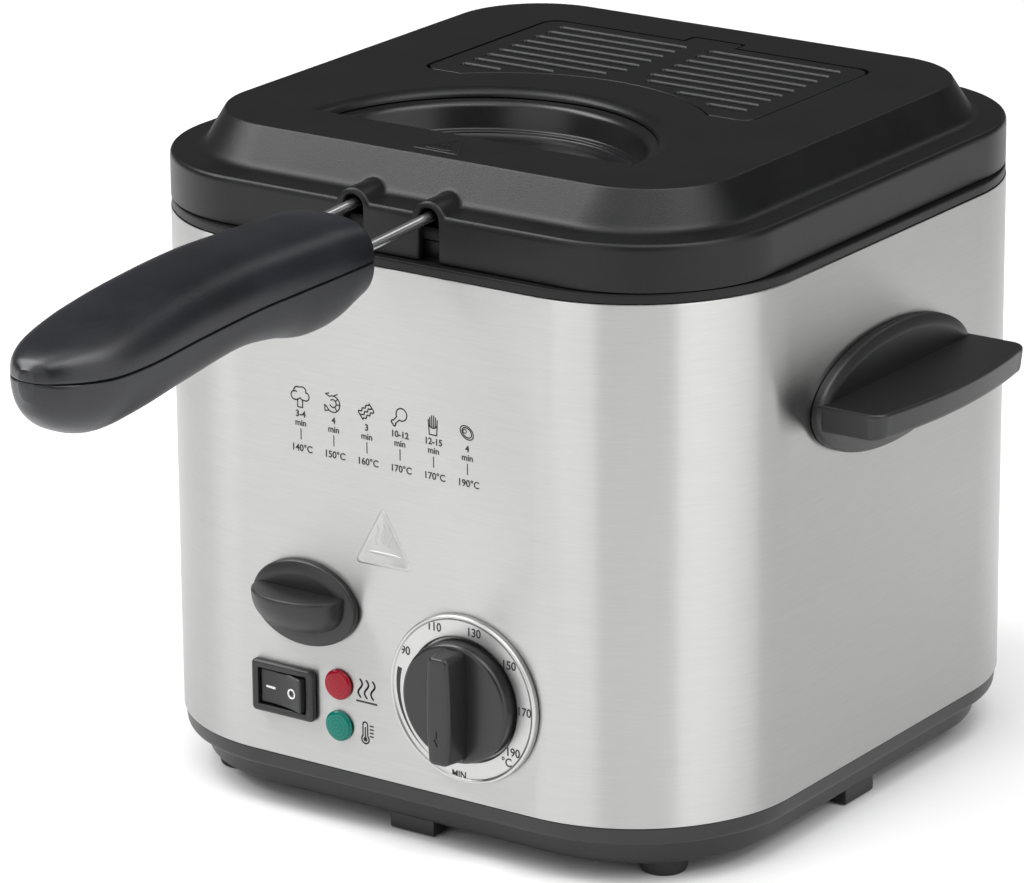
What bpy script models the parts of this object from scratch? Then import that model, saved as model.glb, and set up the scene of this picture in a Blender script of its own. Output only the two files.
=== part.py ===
"""Compact deep fryer, about 1.2 litres, with a lift-off lid, a frying basket on a plug-in handle and a brushed steel wrap.

Metres, +Z up. The front with the controls faces -Y. The model stands on z = 0 and its bounding box is centred on
x = 0, y = 0; the basket handle reaches far out to the front, so the housing itself sits behind the middle.
Sizes below are in millimetres and are turned into metres when a mesh is made.
"""

from math import atan2, cos, pi, radians, sin, sqrt

import bmesh
import bpy
from mathutils import Matrix, Vector

for old in list(bpy.data.objects):
    bpy.data.objects.remove(old, do_unlink=True)

MM = 0.001
GAP = 0.3  # clearance left between pieces that touch

# ---- driving dimensions, mm -------------------------------------------------------------
BODY_A, BODY_B, BODY_R = 104.4, 106.7, 53.5  # steel wrap: half width, half depth, corner radius
STEEL_Z0, STEEL_Z1, STEEL_T = 19.5, 177.4, 0.8
FRONT = -BODY_B  # y of the front panel's face

FOOT_XY = (77.0, 78.0)
FOOT_R = 7.8
BASE_Z = 5.1  # underside of the base

RIM_TOP = 180.5
SKIRT_A, SKIRT_B, SKIRT_R, SKIRT_Z = 102.1, 103.6, 44.4, 180.9
LEDGE_Z = 194.9
RAISE_A, RAISE_B, RAISE_R = 93.6, 94.2, 37.9
LID_A, LID_B, LID_R, LID_TOP = 86.9, 85.5, 28.7, 206.4
LID_T = 2.5

DIAL_X, DIAL_Z, DIAL_R, KNOB_R = 27.1, 51.7, 25.8, 18.4
ROCKER_X, ROCKER_Z, ROCKER_W, ROCKER_H = -38.4, 40.9, 22.6, 16.2
ROCKER_SWING = 18.0  # degrees between the two stops
LAMP_X, LAMP_RED_Z, LAMP_GREEN_Z = -18.6, 46.5, 33.5
GRIP_X, GRIP_Z, GRIP_A, GRIP_B = -29.8, 70.3, 18.75, 13.2  # oval grip on the front panel

SIDE_Z, SIDE_A, SIDE_B = 133.5, 43.0, 18.3  # carrying grips
SHELF_Z0, SHELF_Z1, SHELF_REACH = 129.3, 137.7, 131.4

ROD_X, ROD_R = 13.3, 1.5
ROD_Y0, ROD_Z0 = -105.0, 193.7  # a point on each rod's axis
ROD_SLOPE = 0.0524  # the rods fall towards the grip
SLOT_W, SLOT_Z = 6.6, 193.1  # slots in the lid's skirt, centre of their round tops

FILTER_W, FILTER_BACK, FILTER_FRONT = 58.5, 65.0, -4.5
ARC_Y, ARC_R = -52.3, 65.4  # the filter cover's hollow front edge
HINGE_Y, HINGE_Z = 0.6, 205.5
RECESS_A, RECESS_B, RECESS_Y = 54.0, 54.5, -62.5  # half-moon recess: half width, depth, straight front edge

BASKET_A, BASKET_B, BASKET_R = 64.0, 62.0, 26.0
BASKET_Z0, BASKET_Z1 = 90.0, 172.0

HANDLE_Y0, HANDLE_Y1 = -133.0, -268.0
GLAND_X, GLAND_Z, GLAND_OUT = 0.0, 40.0, 109.6

Y_SHIFT = -(HANDLE_Y1 + GLAND_OUT) / 2


# ---- materials --------------------------------------------------------------------------
def material(name, colour, roughness, metallic=0.0, transmission=0.0):
    made = bpy.data.materials.new(name)
    made.use_nodes = True
    shader = made.node_tree.nodes["Principled BSDF"]
    shader.inputs["Base Color"].default_value = (*colour, 1.0)
    shader.inputs["Roughness"].default_value = roughness
    shader.inputs["Metallic"].default_value = metallic
    shader.inputs["Transmission Weight"].default_value = transmission
    made.diffuse_color = (*colour, 1.0)
    return made


STEEL = material("brushed_steel", (0.62, 0.61, 0.59), 0.32, 1.0)
SATIN = material("satin_metal", (0.72, 0.72, 0.71), 0.28, 1.0)
BLACK = material("black_plastic", (0.035, 0.036, 0.038), 0.45)
LID_BLACK = material("lid_plastic", (0.075, 0.076, 0.08), 0.5)
GRIP_BLACK = material("grip_plastic", (0.018, 0.019, 0.023), 0.4)
RUBBER = material("foot_rubber", (0.02, 0.02, 0.02), 0.8)
SEAL = material("seal_rubber", (0.28, 0.28, 0.28), 0.7)
CHROME = material("chrome_wire", (0.8, 0.8, 0.8), 0.12, 1.0)
POT = material("pot_coating", (0.03, 0.03, 0.032), 0.35)
ALU = material("aluminium", (0.7, 0.7, 0.7), 0.4, 1.0)
HEATER = material("heater_sheath", (0.18, 0.17, 0.16), 0.55, 0.8)
BRASS = material("brass", (0.65, 0.5, 0.25), 0.3, 1.0)
BOARD = material("board", (0.25, 0.2, 0.08), 0.6)
CERAMIC = material("ceramic", (0.75, 0.72, 0.66), 0.5)
PANE = material("smoked_window", (0.06, 0.06, 0.06), 0.08, 0.0, 0.4)
FILTER_WOOL = material("filter_wool", (0.05, 0.05, 0.05), 0.95)
RED = material("red_lens", (0.45, 0.01, 0.05), 0.12, 0.0, 0.4)
GREEN = material("green_lens", (0.0, 0.25, 0.19), 0.12, 0.0, 0.4)
SCREW = material("zinc_screw", (0.6, 0.6, 0.62), 0.35, 1.0)


# ---- bodies -----------------------------------------------------------------------------
def empty(name, at=(0.0, 0.0, 0.0), parent=None):
    made = bpy.data.objects.new(name, None)
    made.empty_display_size = 0.02
    made.location = Vector(at) * MM
    made.parent = parent
    bpy.context.scene.collection.objects.link(made)
    return made


FRAME = empty("fryer_frame", (0.0, Y_SHIFT, 0.0))


def rod_z(y):
    """Height of the rods' axis at y."""
    return ROD_Z0 + (y - ROD_Y0) * ROD_SLOPE


BODY_AT = {
    "housing": (0.0, 0.0, 0.0),
    "basket": (0.0, 0.0, BASKET_Z0),
    "lid": (0.0, 0.0, SKIRT_Z),
    "handle": (0.0, ROD_Y0, ROD_Z0),
    "filter_cover_hinge": (0.0, HINGE_Y, HINGE_Z),
    "knob_axis": (DIAL_X, FRONT, DIAL_Z),
    "rocker_axis": (ROCKER_X, FRONT - 0.2, ROCKER_Z),
}
BODY = {name: empty(name + "_frame", at, FRAME) for name, at in BODY_AT.items()}


# ---- mesh helpers (all in millimetres, in the housing's coordinates) ---------------------
def finish(name, mesh_data, body, finish_material, smooth=35.0):
    """Links a bmesh as an object whose origin is its body's axis."""
    bmesh.ops.recalc_face_normals(mesh_data, faces=mesh_data.faces)
    mesh = bpy.data.meshes.new(name)
    mesh_data.to_mesh(mesh)
    mesh_data.free()
    mesh.transform(Matrix.Translation(-Vector(BODY_AT[body])))
    mesh.transform(Matrix.Scale(MM, 4))
    mesh.materials.append(finish_material)
    mesh.shade_smooth()
    mesh.set_sharp_from_angle(angle=radians(smooth))
    made = bpy.data.objects.new(name, mesh)
    made.parent = BODY[body]
    bpy.context.scene.collection.objects.link(made)
    return made


def skin(name, rings, body, finish_material, loop=False):
    """A surface over rings of equal length; capped at both ends, or joined end to start."""
    data = bmesh.new()
    rows = [[data.verts.new(point) for point in ring] for ring in rings]
    pairs = list(zip(rows, rows[1:]))
    if loop:
        pairs.append((rows[-1], rows[0]))
    for low, high in pairs:
        count = len(low)
        for i in range(count):
            j = (i + 1) % count
            data.faces.new((low[i], low[j], high[j], high[i]))
    if not loop:
        data.faces.new(rows[0])
        data.faces.new(rows[-1])
    return finish(name, data, body, finish_material)


def rounded(a, b, r, z, cx=0.0, cy=0.0, n=6):
    """A rounded rectangle in a level plane."""
    ring = []
    for sx, sy, start in ((1, 1, 0), (-1, 1, 90), (-1, -1, 180), (1, -1, 270)):
        for i in range(n + 1):
            t = radians(start + 90 * i / n)
            ring.append((cx + sx * (a - r) + r * cos(t), cy + sy * (b - r) + r * sin(t), z))
    return ring


def turned(profile, centre, axis="Y", n=24):
    """Rings of a turned shape; profile holds (radius, position along the axis)."""
    rings = []
    for r, s in profile:
        ring = []
        for i in range(n):
            t = 2 * pi * i / n
            u, v = r * cos(t), r * sin(t)
            if axis == "Y":
                ring.append((centre[0] + u, s, centre[1] + v))
            elif axis == "X":
                ring.append((s, centre[0] + u, centre[1] + v))
            else:
                ring.append((centre[0] + u, centre[1] + v, s))
        rings.append(ring)
    return rings


def box(name, low, high, body, finish_material):
    (x0, y0, z0), (x1, y1, z1) = low, high
    rings = [[(x0, y0, z), (x1, y0, z), (x1, y1, z), (x0, y1, z)] for z in (z0, z1)]
    return skin(name, rings, body, finish_material)


def prism(name, outline, z0, z1, body, finish_material):
    """A level outline of (x, y) points, raised from z0 to z1."""
    return skin(name, [[(x, y, z) for x, y in outline] for z in (z0, z1)], body, finish_material)


def combine(target, other, operation="DIFFERENCE"):
    """Cuts or joins a helper, which stays in the file as a hidden guide."""
    modifier = target.modifiers.new(other.name, "BOOLEAN")
    modifier.operation = operation
    modifier.solver = "EXACT"
    modifier.object = other
    other.hide_render = True
    other.display_type = "WIRE"
    return target


def cut(target, *others):
    for other in others:
        combine(target, other)
    return target


def join(target, *others):
    for other in others:
        combine(target, other, "UNION")
    return target


def screw(name, head_at, tip_at, centre, axis, body, head_r=3.0, shank_r=1.5, head_t=1.8):
    """A pan-head screw lying along an axis, from its head to its tip."""
    way = 1 if tip_at > head_at else -1
    neck = head_at + way * head_t
    profile = [(head_r * 0.7, head_at), (head_r, head_at + way * 0.6), (head_r, neck), (shank_r, neck),
               (shank_r, tip_at - way), (shank_r * 0.5, tip_at)]
    return skin(name, turned(profile, centre, axis, 8), body, SCREW)


# ---- steel wrap -------------------------------------------------------------------------
inner = (BODY_A - STEEL_T, BODY_B - STEEL_T, BODY_R - STEEL_T)
housing_shell = skin("housing_shell", [
    rounded(BODY_A, BODY_B, BODY_R, STEEL_Z0, n=10), rounded(BODY_A, BODY_B, BODY_R, STEEL_Z1, n=10),
    rounded(*inner, STEEL_Z1, n=10), rounded(*inner, STEEL_Z0, n=10)], "housing", STEEL, loop=True)


def bore_y(name, x, z, r, y0, y1, body="housing", n=20):
    return skin(name, turned([(r, y0), (r, y1)], (x, z), "Y", n), body, BLACK)


def bore_x(name, y, z, r, x0, x1, body="housing", n=16):
    return skin(name, turned([(r, x0), (r, x1)], (y, z), "X", n), body, BLACK)


cut(housing_shell,
    bore_y("cut_dial", DIAL_X, DIAL_Z, 9.0, FRONT - 5, FRONT + 6),
    box("cut_rocker", (ROCKER_X - 9.9, FRONT - 5, ROCKER_Z - 6.9), (ROCKER_X + 9.9, FRONT + 6, ROCKER_Z + 6.9), "housing", BLACK),
    bore_y("cut_lamp_red", LAMP_X, LAMP_RED_Z, 4.4, FRONT - 5, FRONT + 6),
    bore_y("cut_lamp_green", LAMP_X, LAMP_GREEN_Z, 4.4, FRONT - 5, FRONT + 6),
    bore_y("cut_grip_left", GRIP_X - 10, GRIP_Z, 1.9, FRONT - 5, FRONT + 6, n=12),
    bore_y("cut_grip_right", GRIP_X + 10, GRIP_Z, 1.9, FRONT - 5, FRONT + 6, n=12),
    bore_y("cut_gland", GLAND_X, GLAND_Z, 7.0, BODY_B - 6, BODY_B + 5))
for side, sx in (("right", 1), ("left", -1)):
    for end, y in (("front", -22.0), ("rear", 22.0)):
        cut(housing_shell, bore_x(f"cut_side_{side}_{end}", y, SIDE_Z, 2.0, sx * (BODY_A - 6), sx * (BODY_A + 5), n=12))

# ---- base tray and feet -----------------------------------------------------------------
base_tray = skin("base_tray", [
    rounded(95.6, 96.3, 43.4, BASE_Z), rounded(97.3, 98.0, 45.1, 6.9), rounded(98.6, 99.6, 46.4, 13.4),
    rounded(103.2, 105.5, 52.4, 14.2), rounded(104.0, 106.3, 53.1, STEEL_Z0 - GAP),
    rounded(102.8, 105.1, 51.9, STEEL_Z0 - GAP), rounded(102.8, 105.1, 51.9, 25.5),
    rounded(100.6, 102.9, 49.7, 25.5), rounded(100.6, 102.9, 49.7, 17.0), rounded(96.0, 97.0, 43.8, 14.0),
    rounded(95.0, 95.8, 42.8, 7.7)], "housing", BLACK)
for name, x0, y0, x1, y1 in (("front", -8, -97, 8, -90.5), ("rear", -8, 90.5, 8, 97), ("left", -96.4, -8, -90, 8), ("right", 90, -8, 96.4, 8)):
    join(base_tray, box("tab_" + name, (x0, y0, 0.4), (x1, y1, 6.6), "housing", BLACK))
SCREW_XY = [(-62.0, -62.0), (62.0, -62.0), (-62.0, 62.0), (62.0, 62.0)]
for i, (x, y) in enumerate(SCREW_XY):
    join(base_tray, skin(f"boss_{i}", turned([(6.5, 6.4), (6.0, 19.0)], (x, y), "Z", 10), "housing", BLACK))
for i, (x, y) in enumerate(SCREW_XY):
    cut(base_tray, skin(f"cut_counterbore_{i}", turned([(4.2, 3.0), (4.2, 9.5)], (x, y), "Z", 10), "housing", BLACK),
        skin(f"cut_boss_{i}", turned([(2.1, 2.0), (2.1, 22.0)], (x, y), "Z", 10), "housing", BLACK))
for i in range(5):
    x = -32.0 + 16.0 * i
    cut(base_tray, box(f"cut_vent_{i}", (x - 2.5, -32, 3), (x + 2.5, 32, 10), "housing", BLACK))
for name, sx, sy in (("front_left", -1, -1), ("front_right", 1, -1), ("rear_left", -1, 1), ("rear_right", 1, 1)):
    skin("rubber_foot_" + name, turned([(6.6, 0.0), (7.5, 0.9), (FOOT_R, BASE_Z - GAP)], (sx * FOOT_XY[0], sy * FOOT_XY[1]), "Z", 16), "housing", RUBBER)
for i, (x, y) in enumerate(SCREW_XY):
    screw(f"base_screw_{i + 1}", 5.9, 24.0, (x, y), "Z", "housing", 3.7, 1.7, 2.6)

# ---- rim, seal, pot and heater ----------------------------------------------------------
skin("top_rim", [
    rounded(104.2, 106.5, 53.3, STEEL_Z1 + GAP), rounded(104.2, 106.5, 53.3, RIM_TOP), rounded(98.4, 99.9, 41.0, RIM_TOP),
    rounded(98.4, 99.9, 41.0, 186.0), rounded(96.2, 97.7, 38.8, 186.0), rounded(96.2, 97.7, 38.8, 180.2),
    rounded(80.0, 82.0, 35.5, 180.2), rounded(80.0, 82.0, 35.5, STEEL_Z1 + GAP),
    rounded(100.6, 102.9, 49.7, STEEL_Z1 + GAP), rounded(100.6, 102.9, 49.7, 167.0),
    rounded(102.9, 105.2, 52.0, 167.0), rounded(102.9, 105.2, 52.0, STEEL_Z1 + GAP)], "housing", BLACK, loop=True)
skin("rim_seal", [
    rounded(98.6, 100.1, 41.2, 186.3), rounded(98.6, 100.1, 41.2, 188.4), rounded(97.4, 98.9, 40.0, 189.8),
    rounded(96.0, 97.5, 38.6, 188.4), rounded(96.0, 97.5, 38.6, 186.3)], "housing", SEAL, loop=True)
skin("inner_pot", [
    rounded(66.0, 68.0, 24.0, 74.0), rounded(70.2, 72.2, 28.2, 77.0), rounded(71.2, 73.2, 29.2, 82.0), rounded(77.6, 79.6, 34.0, 180.5),
    rounded(88.0, 89.5, 38.0, 180.5), rounded(88.0, 89.5, 38.0, 182.0), rounded(76.1, 78.1, 32.5, 182.0),
    rounded(69.7, 71.7, 27.7, 82.4), rounded(68.8, 70.8, 26.8, 78.2), rounded(65.0, 67.0, 23.0, 75.8)], "housing", POT)
prism("heater_plate", [p[:2] for p in rounded(60.0, 62.0, 22.0, 0)], 69.6, 73.7, "housing", ALU)


def tube(name, points, radius, body, finish_material, sides=2):
    """A round tube along points."""
    curve = bpy.data.curves.new(name, "CURVE")
    curve.dimensions = "3D"
    curve.bevel_depth = radius * MM
    curve.bevel_resolution = sides
    curve.use_fill_caps = True
    spline = curve.splines.new("POLY")
    spline.points.add(len(points) - 1)
    origin = BODY_AT[body]
    for point, at in zip(spline.points, points):
        point.co = ((at[0] - origin[0]) * MM, (at[1] - origin[1]) * MM, (at[2] - origin[2]) * MM, 1.0)
    curve.materials.append(finish_material)
    made = bpy.data.objects.new(name, curve)
    made.parent = BODY[body]
    bpy.context.scene.collection.objects.link(made)
    return made


def heater_path():
    """A flat C with both ends turned down to the terminals at the rear."""
    radius, z, points = 46.0, 65.8, []
    gap = radians(20)
    for i in range(19):
        t = pi / 2 + gap + (2 * pi - 2 * gap) * i / 18
        points.append((radius * cos(t), radius * sin(t), z))
    bend = [(7.0, 1.2), (9.5, 4.0), (10.5, 8.0), (10.5, 26.0)]
    first, last = points[0], points[-1]
    points = [(first[0] + dx * 0.6, first[1] + dx * 0.15, z - dz) for dx, dz in reversed(bend)] + points
    return points + [(last[0] - dx * 0.6, last[1] + dx * 0.15, z - dz) for dx, dz in bend]


tube("heating_element", heater_path(), 3.2, "housing", HEATER)
heat_shield = skin("heat_shield", [
    rounded(74.0, 76.0, 30.0, 46.0), rounded(76.0, 78.0, 32.0, 48.0), rounded(76.0, 78.0, 32.0, 72.0), rounded(75.2, 77.2, 31.2, 72.0),
    rounded(75.2, 77.2, 31.2, 48.6), rounded(73.6, 75.6, 29.6, 46.8)], "housing", ALU)
for end, point in (("left", heater_path()[0]), ("right", heater_path()[-1])):
    cut(heat_shield, skin("cut_terminal_" + end, turned([(5.0, 40.0), (5.0, 56.0)], point[:2], "Z", 8), "housing", ALU))
for i, (x, y) in enumerate(SCREW_XY):
    cut(heat_shield, skin(f"cut_shield_post_{i}", turned([(2.3, 40.0), (2.3, 56.0)], (x, y), "Z", 8), "housing", ALU))
    skin(f"shield_post_{i + 1}", turned([(4.2, 24.6), (4.2, 45.6)], (x, y), "Z", 8), "housing", ALU)

# ---- electrics --------------------------------------------------------------------------
thermostat = box("thermostat_body", (DIAL_X - 17, FRONT + 2.0, DIAL_Z - 15), (DIAL_X + 17, FRONT + 24.0, DIAL_Z + 15), "housing", CERAMIC)
join(thermostat, bore_y("thermostat_neck", DIAL_X, DIAL_Z, 5.6, FRONT + 0.2, FRONT + 6, n=16))
cut(thermostat, bore_y("cut_thermostat", DIAL_X, DIAL_Z, 3.5, FRONT - 4, FRONT + 14, n=16))
tube("capillary_sensor", [(DIAL_X, FRONT + 24.4, DIAL_Z + 6), (DIAL_X, -81.4, DIAL_Z + 6), (DIAL_X, -80.6, DIAL_Z + 8), (DIAL_X, -80.4, DIAL_Z + 14),
                          (DIAL_X, -80.4, 84.0), (DIAL_X, -80.4, 112.0)], 1.4, "housing", BRASS, 1)
skin("thermal_cutout", turned([(8.0, 56.4), (8.0, 60.5), (5.0, 60.5), (5.0, 69.2)], (0.0, 0.0), "Z", 16), "housing", CERAMIC)
box("terminal_block", (-20, 66, 22), (20, 82, 36), "housing", CERAMIC)
box("indicator_board", (LAMP_X - 8, FRONT + 10.5, LAMP_GREEN_Z - 6), (LAMP_X + 8, FRONT + 12.1, LAMP_RED_Z + 6), "housing", BOARD)
skin("cord_gland", turned([(4.0, BODY_B - 7), (6.4, BODY_B - 7), (6.4, BODY_B + GAP), (9.5, BODY_B + GAP), (9.5, BODY_B + 1.6), (8.3, GLAND_OUT), (4.0, GLAND_OUT)],
                          (GLAND_X, GLAND_Z), "Y", 16), "housing", BLACK, loop=True)

# ---- front panel ------------------------------------------------------------------------
F = FRONT - GAP  # the back of everything that sits on the front panel
skin("dial_bezel", turned([(18.95, F), (18.95, F - 1.0), (19.3, F - 1.5), (24.3, F - 1.5), (24.9, F - 2.1), (25.5, F - 2.0), (DIAL_R, F - 1.4), (DIAL_R, F)],
                          (DIAL_X, DIAL_Z), "Y", 36), "housing", SATIN, loop=True)
for name, z, look in (("lamp_red", LAMP_RED_Z, RED), ("lamp_green", LAMP_GREEN_Z, GREEN)):
    skin(name, turned([(2.6, FRONT + 9.5), (3.9, FRONT + 8.5), (3.9, F), (4.7, F), (4.7, F - 0.5), (4.1, F - 1.2), (2.1, F - 1.6)], (LAMP_X, z), "Y", 16), "housing", look)

rocker_housing = skin("rocker_housing", [
    [(ROCKER_X + x, y, ROCKER_Z + z) for x, z, _ in rounded(a, b, r, 0, n=2)]
    for a, b, r, y in ((9.5, 6.5, 0.8, FRONT + 18), (9.5, 6.5, 0.8, F), (11.3, 8.1, 1.4, F), (11.3, 8.1, 1.4, F - 1.4), (10.5, 7.3, 1.0, F - 2.0))], "housing", BLACK)
cut(rocker_housing, box("cut_rocker_pocket", (ROCKER_X - 8.8, FRONT - 6, ROCKER_Z - 5.8), (ROCKER_X + 8.8, FRONT + 10, ROCKER_Z + 5.8), "housing", BLACK))


def rocker_outline():
    """Plan of the rocker with its left end pressed in; it turns about a vertical axis."""
    pivot = FRONT - 0.2
    shape = [(-8.2, -2.3), (-4.1, -1.7), (0.0, -1.35), (4.1, -1.7), (8.2, -2.3), (8.5, 0.0), (6.6, 3.6), (4.2, 6.3), (-4.2, 6.3), (-6.6, 3.6), (-8.5, 0.0)]
    t = radians(ROCKER_SWING / 2)
    return [(ROCKER_X + x * cos(t) + y * sin(t), pivot + y * cos(t) - x * sin(t)) for x, y in shape]


prism("rocker_button", rocker_outline(), ROCKER_Z - 5.4, ROCKER_Z + 5.4, "rocker_axis", BLACK)

knob = skin("thermostat_knob", turned([(17.4, F), (KNOB_R, F - 0.6), (KNOB_R, F - 5.4), (17.6, F - 6.4)], (DIAL_X, DIAL_Z), "Y", 28), "knob_axis", BLACK)


def knob_bar(y, half_w, half_l, r):
    return [(DIAL_X + x, y, DIAL_Z + z) for x, z, _ in rounded(half_w, half_l, r, 0, n=3)]


join(knob, skin("knob_bar", [knob_bar(F - 3.0, 4.6, 17.1, 1.6), knob_bar(F - 7.0, 4.5, 17.0, 1.6), knob_bar(F - 13.8, 3.9, 16.6, 1.3), knob_bar(F - 14.6, 3.2, 15.8, 0.9)], "knob_axis", BLACK))
cut(knob, bore_y("cut_knob_bore", DIAL_X, DIAL_Z, 3.4, F - 9.0, F + 3, "knob_axis", 16),
    skin("cut_knob_hollow", turned([(16.4, F + 2), (16.4, F - 2.0), (7.0, F - 2.0), (7.0, F + 2)], (DIAL_X, DIAL_Z), "Y", 24), "knob_axis", BLACK, loop=True))
skin("thermostat_shaft", turned([(2.6, FRONT + 13.0), (3.0, FRONT + 12.5), (3.0, F - 8.0), (2.6, F - 8.6)], (DIAL_X, DIAL_Z), "Y", 16), "knob_axis", BRASS)


def oval(a, b, at, offset, axis, n=28):
    ring = []
    for i in range(n):
        t = 2 * pi * i / n
        u, v = at[0] + a * cos(t), at[1] + b * sin(t)
        ring.append((u, offset, v) if axis == "Y" else (offset, u, v))
    return ring


front_grip = skin("front_grip", [oval(a, b, (GRIP_X, GRIP_Z), y, "Y") for a, b, y in (
    (GRIP_A, GRIP_B, F), (GRIP_A, GRIP_B, F - 1.6), (GRIP_A - 0.9, GRIP_B - 0.9, F - 2.6), (GRIP_A - 3.0, GRIP_B - 2.8, F - 3.0))], "housing", BLACK)


def front_fin():
    """A spoon-shaped ledge: flat on top, hollowing down and back to the plate."""
    rings, back, top = [], F - 2.0, GRIP_Z + 4.5
    for i in range(11):
        t = radians(9 + 162 * i / 10)
        x = GRIP_X - 15.6 * cos(t)
        reach, drop = 12.2 * sin(t) ** 0.75, 13.0 * sin(t) ** 0.6
        ring = [(x, back, top), (x, back - reach, top), (x, back - reach, top - 0.09 * drop)]
        for k in range(1, 5):
            s = k / 4 * pi / 2
            ring.append((x, back - reach * cos(s) ** 0.9 if k < 4 else back, top - 0.09 * drop - 0.91 * drop * sin(s)))
        rings.append(ring)
    return rings


join(front_grip, skin("front_fin", front_fin(), "housing", BLACK))
for end, dx in (("left", -10.0), ("right", 10.0)):
    cut(front_grip, bore_y("cut_grip_pilot_" + end, GRIP_X + dx, GRIP_Z, 1.8, FRONT + 2, F - 5.6, n=12))
    screw("front_grip_screw_" + end, FRONT + 3.5, F - 5.0, (GRIP_X + dx, GRIP_Z), "Y", "housing")


# ---- carrying grips on both sides -------------------------------------------------------
def shelf_outline():
    """Plan of the right-hand shelf: straight ends, bowed outer edge, rounded corners."""
    half, inner_x, corner = 42.3, BODY_A + 1.2, 5.0
    bow = [(SHELF_REACH - 3.6 * (k / 7) ** 2, 37.0 * k / 7) for k in range(8)]
    cx, cy = bow[-1][0] - corner, half - corner
    turn = [(cx + corner * cos(t), cy + corner * sin(t)) for t in (radians(a) for a in (25, 50, 75, 90))]
    upper = bow + turn + [(inner_x, half)]
    return [(x, -y) for x, y in reversed(upper[1:])] + upper


for side, sx in (("right", 1), ("left", -1)):
    plate = skin("side_handle_" + side, [oval(a, b, (0.0, SIDE_Z), sx * x, "X", 30) for a, b, x in (
        (SIDE_A, SIDE_B, BODY_A + GAP), (SIDE_A, SIDE_B, BODY_A + 2.4), (SIDE_A - 1.0, SIDE_B - 1.0, BODY_A + 3.7), (SIDE_A - 2.4, SIDE_B - 2.4, BODY_A + 4.0))], "housing", BLACK)
    outline = [(sx * x, y) for x, y in shelf_outline()]
    small = [(sx * (BODY_A + 1.2 + (abs(x) - BODY_A - 1.2) * 0.955), y * 0.975) for x, y in outline]
    shelf = skin("shelf_" + side, [[(x, y, z) for x, y in ring] for ring, z in ((small, SHELF_Z0), (outline, SHELF_Z0 + 1.6), (outline, SHELF_Z1 - 0.5), ([(x * 0.998, y * 0.992) for x, y in outline], SHELF_Z1))], "housing", BLACK)
    join(plate, shelf)
    for end, y in (("front", -22.0), ("rear", 22.0)):
        lo, hi = sx * (BODY_A - 1.0), sx * (BODY_A + 9.5)
        cut(plate, bore_x(f"cut_pilot_{side}_{end}", y, SIDE_Z, 1.8, lo, hi, n=12))
        screw(f"side_screw_{side}_{end}", sx * (BODY_A - 3.2), sx * (BODY_A + 8.8), (y, SIDE_Z), "X", "housing")

# ---- basket -----------------------------------------------------------------------------
skin("basket_mesh", [
    rounded(58.0, 56.0, 20.0, BASKET_Z0), rounded(60.5, 58.5, 22.5, BASKET_Z0 + 2.5), rounded(BASKET_A, BASKET_B, BASKET_R, BASKET_Z1),
    rounded(BASKET_A - 1.4, BASKET_B - 1.4, BASKET_R - 1.4, BASKET_Z1), rounded(59.1, 57.1, 21.1, BASKET_Z0 + 3.2), rounded(57.4, 55.4, 19.4, BASKET_Z0 + 1.4)], "basket", CHROME)
skin("basket_rim", [rounded(BASKET_A + 2.0 * cos(t), BASKET_B + 2.0 * cos(t), BASKET_R + 2.0 * cos(t), BASKET_Z1 + 2.3 + 2.0 * sin(t), n=6)
                    for t in (2 * pi * k / 8 for k in range(8))], "basket", CHROME, loop=True)
socket = box("handle_socket", (-20.0, -69.4, 160.0), (20.0, -67.0, 201.0), "basket", CHROME)
join(socket, box("socket_lug", (-16.0, -67.6, 171.5), (16.0, -64.3, 177.0), "basket", CHROME))
for end, x in (("left", -ROD_X), ("right", ROD_X)):
    cut(socket, skin("cut_socket_" + end, turned([(1.95, -75.0), (1.95, -60.0)], (x, rod_z(-68.2)), "Y", 12), "basket", CHROME))
cut(socket, box("cut_socket_window", (-9.0, -75.0, 182.0), (9.0, -60.0, 195.0), "basket", CHROME))


# ---- basket handle ----------------------------------------------------------------------
def rod_path():
    """One bent wire: both prongs reach the basket and meet inside the grip."""
    half = [(ROD_X, -66.0), (ROD_X, -90.0), (ROD_X, -133.0), (ROD_X - 0.3, -139.0), (11.6, -150.0), (9.6, -162.0), (9.0, -172.0), (7.6, -176.4), (4.5, -178.6), (0.0, -179.2)]
    points = half + [(-x, y) for x, y in reversed(half[:-1])]
    return [(x, y, rod_z(y)) for x, y in points]


tube("handle_rods", rod_path(), ROD_R, "handle", CHROME)

# Stations along the grip: y, half width, height of the parting line, rise above it, drop below it
STATIONS = (
    (-133.0, 15.6, 188.9, 10.8, 7.6), (-135.0, 17.2, 188.9, 12.4, 11.0), (-143.0, 17.9, 189.1, 13.1, 17.4),
    (-156.0, 18.1, 189.1, 13.6, 18.9), (-170.0, 18.2, 189.1, 14.0, 16.0), (-190.0, 18.4, 189.0, 14.4, 14.1),
    (-216.0, 18.0, 187.5, 13.9, 15.6), (-236.0, 17.8, 185.9, 12.8, 17.0), (-250.0, 16.1, 185.3, 10.6, 17.4),
    (-259.5, 12.0, 185.6, 8.4, 14.6), (-265.5, 7.2, 186.0, 5.8, 10.0), (HANDLE_Y1, 2.6, 186.2, 3.2, 5.0))


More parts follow.
